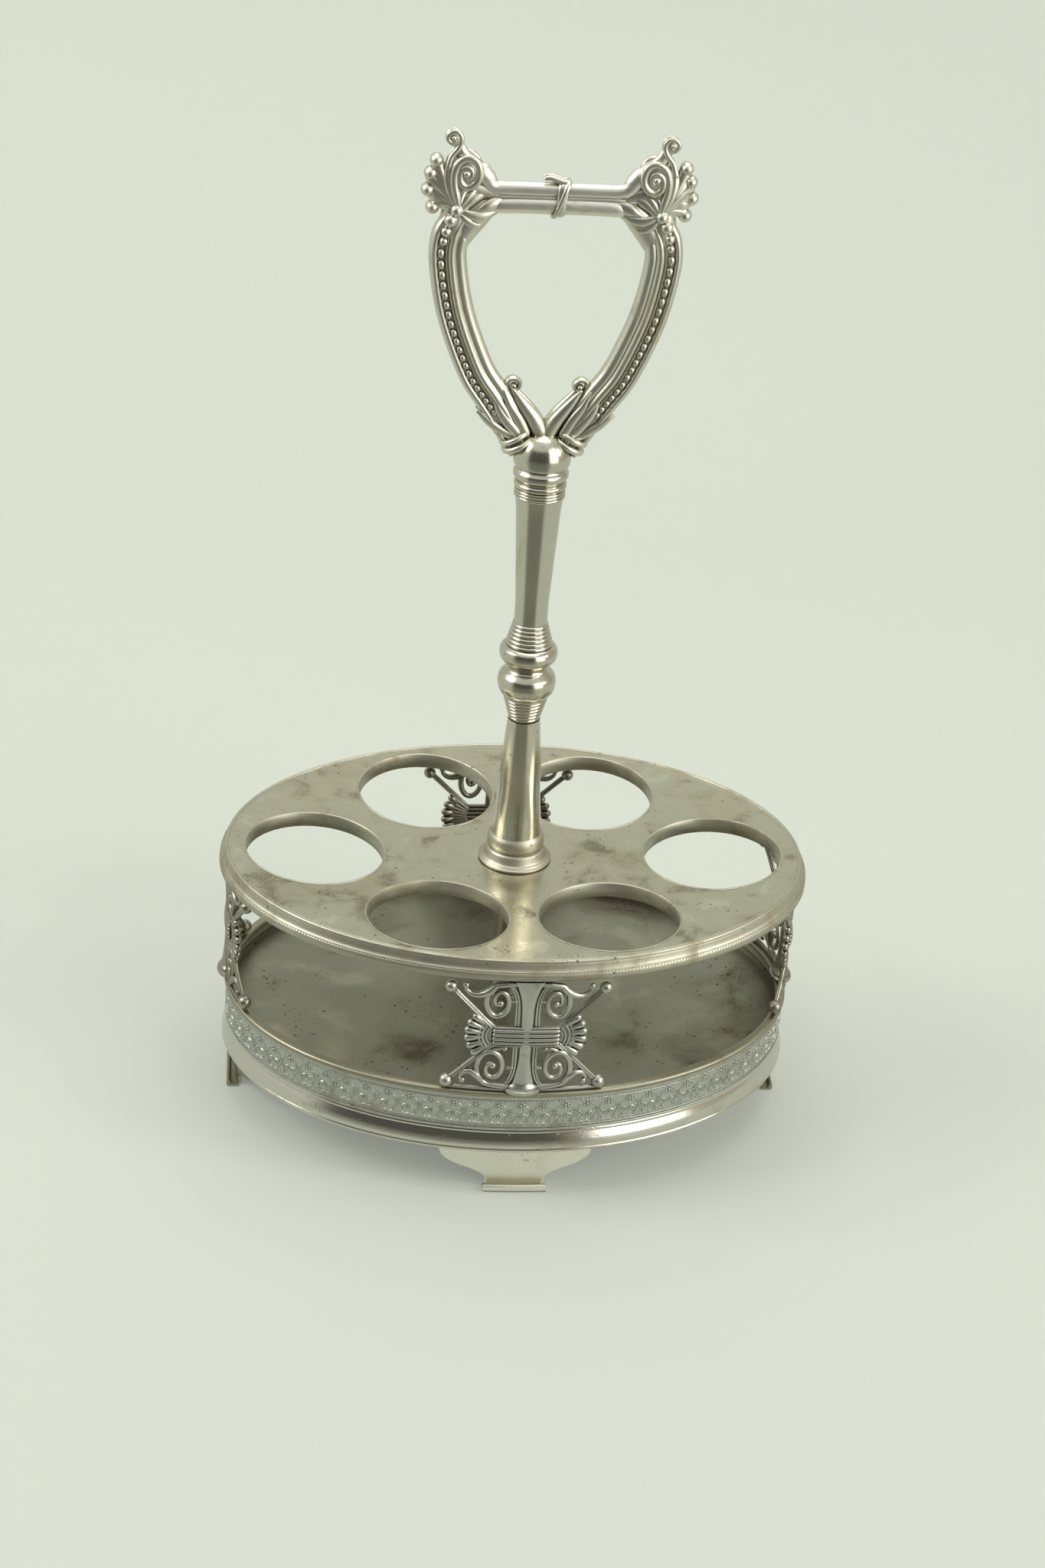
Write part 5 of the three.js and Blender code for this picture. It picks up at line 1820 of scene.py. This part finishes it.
    def _bead_row(
        self, piece: Blank, path: list[Vector], ahead: list[Vector], gone: list[float]
    ) -> None:
        """Set beads that grow upwards in the channel on both faces of an arm.

        Args:
            piece: Blank that takes the beads.
            path: Points of the arm's middle line.
            ahead: Direction of the line at each point.
            gone: Distance along the line at each point.
        """
        total = gone[-1]
        spot, index = self.first_bead, 0
        while spot < total - 1.5:
            while gone[index + 1] < spot:
                index += 1
            share = (spot - gone[index]) / (gone[index + 1] - gone[index])
            station = self._station(path[index].lerp(path[index + 1], share), ahead[index])
            along = spot / total
            grow = min(1.0, 0.8 + (total - spot) / 40)
            size = 1.0 + 0.45 * along + 0.5 * max(0.0, along - 0.88) / 0.12
            stretch = 1.1 + 0.25 * along
            for face in (-1, 1):
                bead = Blank("bead")
                place = Vector((self.channel * grow, face * 2.2 * grow, 0))
                bead.ball(place, size, (0.98, 1.05, stretch), fine=False)
                bmesh.ops.transform(bead.mesh, matrix=station, verts=bead.mesh.verts)
                piece.take(bead.mesh)
            spot += 2 * size * stretch + 0.1

    def _husk(self, piece: Blank) -> None:
        """Add the leaves at the arm's foot, with the inner curl and its tip.

        Args:
            piece: Blank that takes them.
        """
        leaves = [(face, leaf) for face in (-1, 1) for leaf in self.LEAVES]
        for face, (points, depth, radii, sides, flat) in [*leaves, (0, self.CURL)]:
            line = spline([(x, face * depth, self.centre + z) for x, z in points], 5)
            piece.strand(line, self._taper(len(line), *radii), sides, flat)
        x, z = self.CURL_TIP
        piece.ball(Vector((x, 0, self.centre + z)), 1.15, (1, 1.6, 1))

    def _taper(self, count: int, first: float, middle: float, last: float) -> list[float]:
        """Return radii that pass from a first over a middle to a last one."""
        shares = [i / (count - 1) for i in range(count)]
        return [(1 - s) ** 2 * first + 2 * s * (1 - s) * middle + s**2 * last for s in shares]

    def _roll(self, name: str, rise: float, ends: Sequence[tuple]) -> Blank:
        """Return a roll of the bar, which changes in size at its ends.

        Args:
            name: Name of the piece.
            rise: Height of its middle over the bar.
            ends: Its right end, as across, height over the bar and radius.

        Returns:
            The blank.
        """
        points = [*[(-x, z, r) for x, z, r in reversed(ends)], (0.0, rise, ends[0][2]), *ends]
        smooth = spline(points, 6)
        piece = Blank(name)
        line = [Vector((x, 0, self.bar + z)) for x, z, _ in smooth]
        piece.strand(line, [r for _, _, r in smooth], 32)
        return piece

    def bars(self) -> None:
        """Make the two rolls of the bar, with the solder in the seams between them."""
        lower = self._roll("bar_lower", 0.0, self.LOWER_ROLL)
        lower.finish(Finish.BRIGHT, ["lower_bar"], crease=50)
        upper = self._roll("bar_upper", self.upper_rise, self.UPPER_ROLL)
        for depth in (-1.2, 1.2):
            solder = [Vector((x, depth, self.bar + 2.75)) for x in range(-21, 22, 3)]
            upper.strand(solder, [0.75], 10)
        upper.finish(Finish.BRIGHT, ["upper_bar"], crease=50)

    def tie(self) -> None:
        """Make the flat tie round the two rolls, its slanting cord and the knot's loose end."""
        piece = Blank("bar_binding")
        thick = 0.62
        for lean, wide, low, high in self.TURNS:
            loop = [(-y, -z) for y, z in arc((0, 0), low, 0, 180, 9)]
            loop += arc((0, self.upper_rise), high, 0, 180, 9)
            places = [*loop, loop[0]]
            line = [Vector((lean * (z - 2.7) + 0.5, y, self.bar + z)) for y, z in places]
            piece.strand(line, [thick], 12, wide / thick, across=Vector((1, 0, 0.1)))
        for depth in (-1.2, 1.2):
            knot = spline([(x, depth, z) for x, z in self.KNOT], 4)
            line = [point + Vector((0, 0, self.bar - 0.3)) for point in knot]
            piece.strand(line, self._taper(len(line), 0.8, 1.2, 1.0), 10)
        piece.finish(Finish.ORNAMENT, ["bar_tie"], crease=50)

    def corner(self, across: int) -> None:
        """Make a corner scroll: body, leaves, volute, stalk with its scroll, beads and tips.

        Args:
            across: -1 for the left corner and 1 for the right.
        """
        piece = Blank(f"scroll_{end_name(across)}")
        for points in self.BODY:
            piece.strand(*self._drawn(points, 1), 20, 0.72)
        for face in (-1, 1):
            for points in self.PETALS:
                sunk = [
                    (x, z, y - self.petal_sink, self.petal_swell * r) for x, z, y, r in points
                ]
                piece.strand(*self._drawn(sunk, face), 12, 0.62)
            for points in (self.VOLUTE, self.STALK):
                piece.strand(*self._drawn(points, face), 12, 0.75)
            for x, z, y, radius in self.BEADS:
                piece.ball(Vector((x, face * y, self.bar + z)), radius)
        for x, z in self.TIPS:
            piece.ball(Vector((x, 0, self.bar + z)), 2.3, (1, 1.3, 1))
        for x, z, reach, deep in self.DRUMS:
            inner, edge = reach - 0.6, deep - 0.6
            drum = [(0, -deep), (inner, -deep), (reach, -edge), (reach, edge), (inner, deep)]
            tilt = Matrix.Translation((x, 0, self.bar + z)) @ Matrix.Rotation(math.pi / 2, 4, "X")
            piece.turned([*drum, (0, deep)], 48, tilt)
        self._mirror(piece, across)
        piece.finish(Finish.ORNAMENT, [f"corner_scroll_{end_name(across)}"], crease=50)

    def _drawn(self, points: Sequence[Knot], face: int) -> tuple[list[Vector], list[float]]:
        """Return the smooth line of a strand on one face, and its radius at each point."""
        knots = spline(points, 5)
        return [Vector((x, face * y, self.bar + z)) for x, z, y, _ in knots], [k[3] for k in knots]


# Fixing


@dataclass
class Fixing:
    """Rod, washer and nut that hold the stem, and the tube between plate and floor."""

    facets: int = 48
    sleeve_wall: float = 1.0
    thread_pitch: float = 0.8
    thread_turns: int = 14
    washer_edge: float = 0.25

    def build(self) -> None:
        """Make every piece of the fixing."""
        self.sleeve()
        self.rod()
        self.washer()
        self.nut()

    def sleeve(self) -> None:
        """Make the plain tube between floor and plate."""
        low, high = span("sleeve_tube")
        outer, inner = high.x, high.x - self.sleeve_wall
        foot, head = low.z - 0.2, high.z + 0.2
        piece = Blank("sleeve")
        piece.turned([(inner, foot), (outer, foot), (outer, head), (inner, head)], 96)
        piece.finish(Finish.FLOOR, ["sleeve_tube"])

    def rod(self) -> None:
        """Make the rod with a thread at its lower end."""
        low, high = span("tie_rod")
        radius, pitch = high.x, self.thread_pitch
        profile = [(0, low.z), (radius - 0.5, low.z)]
        for turn in range(self.thread_turns):
            z = low.z + 0.4 + pitch * turn
            profile += [(radius - 0.35, z), (radius, z + 0.4 * pitch)]
        profile.append((radius, low.z + 0.6 + pitch * self.thread_turns))
        piece = Blank("rod")
        piece.turned([*profile, (radius, high.z), (0, high.z)], self.facets)
        piece.finish(Finish.STEEL, ["tie_rod"], crease=30)

    def washer(self) -> None:
        """Make the washer with rounded edges."""
        low, high = span("washer")
        r, edge = high.x, self.washer_edge
        outer = [(r - edge, low.z), (r, low.z + edge), (r, high.z - edge), (r - edge, high.z)]
        piece = Blank("washer_ring")
        piece.turned([(BORE, low.z), *outer, (BORE, high.z)], self.facets)
        piece.finish(Finish.STEEL, ["washer"])

    def nut(self) -> None:
        """Make the six-sided nut with rounded edges; the rod fills its bore."""
        low, high = span("nut")
        reach = high.y / math.cos(math.pi / 6)
        nut = bmesh.new()
        sizes = {"radius1": reach, "radius2": reach, "depth": high.z - low.z}
        bmesh.ops.create_cone(nut, cap_ends=True, segments=6, **sizes)
        bmesh.ops.rotate(nut, matrix=Matrix.Rotation(math.pi / 6, 3, "Z"), verts=nut.verts)
        caps = [face for face in nut.faces if abs(face.normal.z) > 0.5]
        round_edges(nut, [edge for face in caps for edge in face.edges])
        bmesh.ops.translate(nut, vec=(0, 0, (low.z + high.z) / 2), verts=nut.verts)
        piece = Blank("nut_block")
        piece.take(nut)
        piece.finish(Finish.STEEL, ["nut"], crease=30)


# Stage


@dataclass(frozen=True)
class Shot:
    """The camera's place: distance to the plate's middle, angles in degrees, view's offset."""

    focal: float = 3926.8
    distance: float = 1097.6
    elevation: float = 28.9
    roll: float = 4.0
    yaw: float = 6.3
    middle: Point = (671.8, 1118.5)
    image: tuple[int, int] = (1365, 2048)
    sensor: float = 36.0

    def camera(self, height: float) -> None:
        """Place the scene's camera so that it looks at the stand as in the photograph.

        Args:
            height: Height of the plate's middle in millimetres.
        """
        lift, tilt, turn = (math.radians(a) for a in (self.elevation, self.roll, self.yaw))
        level = Vector((math.cos(turn), -math.sin(turn), 0))
        far = math.cos(lift)
        ahead = Vector((math.sin(turn) * far, math.cos(turn) * far, -math.sin(lift)))
        upright = level.cross(ahead)
        right = math.cos(tilt) * level + math.sin(tilt) * upright
        up = math.cos(tilt) * upright - math.sin(tilt) * level
        shift = [(m - size / 2) / self.focal for m, size in zip(self.middle, self.image)]
        aside, over = Vector(part * self.distance for part in shift)
        place = Vector((0, 0, height)) - ahead * self.distance - right * aside + up * over
        data = bpy.data.cameras.new("view")
        data.sensor_fit = "VERTICAL"
        data.sensor_height = self.sensor
        data.lens = self.focal / self.image[1] * self.sensor
        data.clip_start = 0.01
        data.clip_end = 20
        camera = bpy.data.objects.new("view", data)
        turned = Matrix((right, up, -ahead)).transposed().to_4x4()
        camera.matrix_world = Matrix.Translation(place * MM) @ turned
        bpy.context.scene.collection.objects.link(camera)
        bpy.context.scene.camera = camera


@dataclass(frozen=True)
class Lamp:
    """A square soft lamp: its name, place and width in millimetres and power in watts."""

    name: str
    place: tuple[float, float, float]
    width: float
    power: float

    def hang(self, aim: Vector, colour: Colour) -> None:
        """Hang the lamp so that it shines towards a point.

        Args:
            aim: The point, in metres.
            colour: Colour of the light.
        """
        data = bpy.data.lights.new(self.name, "AREA")
        data.shape = "SQUARE"
        data.size = self.width * MM
        data.energy = self.power
        data.color = colour
        lamp = bpy.data.objects.new(self.name, data)
        lamp.location = Vector(self.place) * MM
        lamp.rotation_euler = (aim - lamp.location).to_track_quat("-Z", "Y").to_euler()
        bpy.context.scene.collection.objects.link(lamp)


@dataclass(frozen=True)
class Stage:
    """Pale floor that curves up into a backdrop, the lamps and the room's light.

    Polished metal shows the room, so the side where the viewer stands is dark, as in a room
    that is lit by its windows. The floor is clear from behind and from below.
    """

    LAMPS: ClassVar[Sequence[Lamp]] = [
        Lamp("window_left", (-1330, -60, 1180), 700, 12),
        Lamp("window_right", (1250, -500, 800), 380, 6),
        Lamp("ceiling", (100, 300, 1700), 1300, 11),
    ]

    floor_colour: Colour = (0.585, 0.62, 0.55)
    far_colour: Colour = (0.66, 0.7, 0.62)
    shade_colour: Colour = (0.06, 0.06, 0.05)
    dark_colour: Colour = (0.05, 0.05, 0.045)
    left_colour: Colour = (0.62, 0.64, 0.6)
    right_colour: Colour = (0.47, 0.45, 0.36)
    ceiling_colour: Colour = (0.7, 0.72, 0.7)
    window_colour: Colour = (2.8, 2.8, 2.7)
    lamp_colour: Colour = (1.0, 0.99, 0.96)
    front: float = -1800.0
    depth: float = 900.0
    width: float = 2600.0
    wall: float = 1500.0
    bend: float = 420.0
    dark_turn: float = -17.0
    dark_half: float = 42.0
    window_turn: float = 44.0
    window_half: float = 15.0

    def build(self) -> None:
        """Make the floor, the lamps and the world."""
        self.sweep()
        for lamp in self.LAMPS:
            lamp.hang(Vector((0, 0, 0.12)), self.lamp_colour)
        self.room()
        bpy.context.scene.view_settings.view_transform = "Standard"

    def _toward(
        self, graph: Graph, place: Signal, side: float, half: float, soft: float
    ) -> Signal:
        """Return 1 for places or directions on one side of the room and 0 elsewhere.

        Args:
            graph: Node tree that takes the nodes.
            place: Place or direction as a vector signal.
            side: Angle in degrees from the stand's front towards its right.
            half: Half of the angle that the side takes.
            soft: Half of the angle over which it fades.

        Returns:
            The share.
        """
        way = graph.vector("NORMALIZE", graph.vector("MULTIPLY", place, (1, 1, 0)))
        turn = math.radians(side)
        toward = (math.sin(turn), -math.cos(turn), 0)
        along = graph.vector("DOT_PRODUCT", way, toward, output="Value")
        return along.step(math.cos(math.radians(half + soft)), math.cos(math.radians(half - soft)))

    def sweep(self) -> None:
        """Make the floor and backdrop as one bent sheet."""
        turn = arc((self.depth - self.bend, self.bend), self.bend, -90, 0, 16)
        line = [(self.front, 0.0), *turn, (self.depth, self.wall)]
        sheet = bmesh.new()
        corners = [sheet.verts.new((-self.width / 2, y, z)) for y, z in line]
        edges = [sheet.edges.new(pair) for pair in zip(corners, corners[1:])]
        made = bmesh.ops.extrude_edge_only(sheet, edges=edges)["geom"]
        moved = [item for item in made if isinstance(item, bmesh.types.BMVert)]
        bmesh.ops.translate(sheet, vec=(self.width, 0, 0), verts=moved)
        bmesh.ops.scale(sheet, vec=(MM, MM, MM), verts=sheet.verts)
        mesh = bpy.data.meshes.new("floor")
        sheet.to_mesh(mesh)
        sheet.free()
        mesh.shade_smooth()
        mesh.materials.append(self.cloth())
        floor = bpy.data.objects.new("floor", mesh)
        bpy.context.scene.collection.objects.link(floor)

    def cloth(self) -> bpy.types.Material:
        """Return the floor's material: matte, pale to the camera and shaded in reflections."""
        made = bpy.data.materials.new("floor_cloth")
        graph = Graph(made)
        place = graph.node("ShaderNodeTexCoord", output="Object")
        far = graph.vector("LENGTH", place, output="Value").step(0.16, 0.34)
        dark = self._toward(graph, place, self.dark_turn, self.dark_half, 9) * far
        tone = graph.mix(dark * 0.88, self.floor_colour, self.shade_colour)
        matte = graph.node("ShaderNodeBsdfDiffuse", None, {"Color": self.floor_colour})
        inputs = {"Color": self.floor_colour, "Strength": 1.0}
        seen = graph.node("ShaderNodeEmission", None, inputs)
        shown = graph.blend(graph.ray("Is Camera Ray") * 0.35, matte, seen)
        reflected = graph.node("ShaderNodeEmission", None, {"Color": tone, "Strength": 0.95})
        lit = graph.blend(graph.ray("Is Glossy Ray") * 0.85, shown, reflected)
        rear = graph.node("ShaderNodeNewGeometry", output="Backfacing")
        graph.surface(graph.blend(rear, lit, graph.node("ShaderNodeBsdfTransparent")))
        return made

    def room(self) -> None:
        """Light the room from pale walls and ceiling, with a dark side behind the viewer."""
        world = bpy.data.worlds.new("room")
        graph = Graph(world)
        way = graph.node("ShaderNodeTexCoord", output="Generated")
        rise = graph.node("ShaderNodeSeparateXYZ", None, {0: way}, output="Z")
        side = graph.node("ShaderNodeSeparateXYZ", None, {0: way}, output="X")
        dark = self._toward(graph, way, self.dark_turn, self.dark_half, 7) * rise.step(0.68, 0.5)
        window = self._toward(graph, way, self.window_turn, self.window_half, 4)
        window = window * rise.step(0.75, 0.6)
        tone = graph.mix(side.step(-0.4, 0.8), self.left_colour, self.right_colour)
        tone = graph.mix(rise.step(0.5, 0.95), tone, self.ceiling_colour)
        tone = graph.mix(dark * 0.92, tone, self.dark_colour)
        tone = graph.mix(window, tone, self.window_colour)
        tone = graph.mix(graph.ray("Is Camera Ray"), tone, self.far_colour)
        light = graph.node("ShaderNodeBackground", None, {"Color": tone, "Strength": 1.0})
        graph.surface(light, "ShaderNodeOutputWorld")
        bpy.context.scene.world = world


class Dresser:
    """Puts a finish on the frame's nodes, also on those that a piece then stands for."""

    FINISHES: ClassVar[dict[str, Finish]] = {
        "silver_polished": Finish.ORNAMENT, "silver_worn": Finish.FOOT,
        "silver_stained": Finish.FLOOR, "silver_oxidised": Finish.CAST,
        "fixing_steel": Finish.STEEL,
    }

    def __init__(self, frame: dict) -> None:
        """Keep the loaded frame."""
        self.frame = frame

    def dress(self) -> None:
        """Give every node the material of its slot's finish."""
        for part in self.frame["record"]["subparts"]:
            node = self.frame["nodes"][part["node"]]
            finish = self.FINISHES[part["material_slot"]]
            for slot in node.material_slots:
                slot.material = WARDROBE.of(finish)
            log.info("%s has its slot's finish", part["node"])


def main(frame: dict) -> None:
    """Build the stand around the frame, then the stage.

    Args:
        frame: The loaded frame.
    """
    Dresser(frame).dress()
    base = Base()
    base.build()
    plate = Plate()
    plate.build()
    rim_line = Oval(plate.oval.half_length - 1.6, plate.oval.half_width + 0.4)
    for side in Side:
        Bracket(side, base.oval, rim_line).build()
    Stem().build()
    Handle().build()
    Fixing().build()
    Shot().camera(plate.level - plate.dish)
    Stage().build()


if __name__ == "__main__":
    logging.basicConfig(level=logging.INFO)
    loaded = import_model()
    main(loaded)
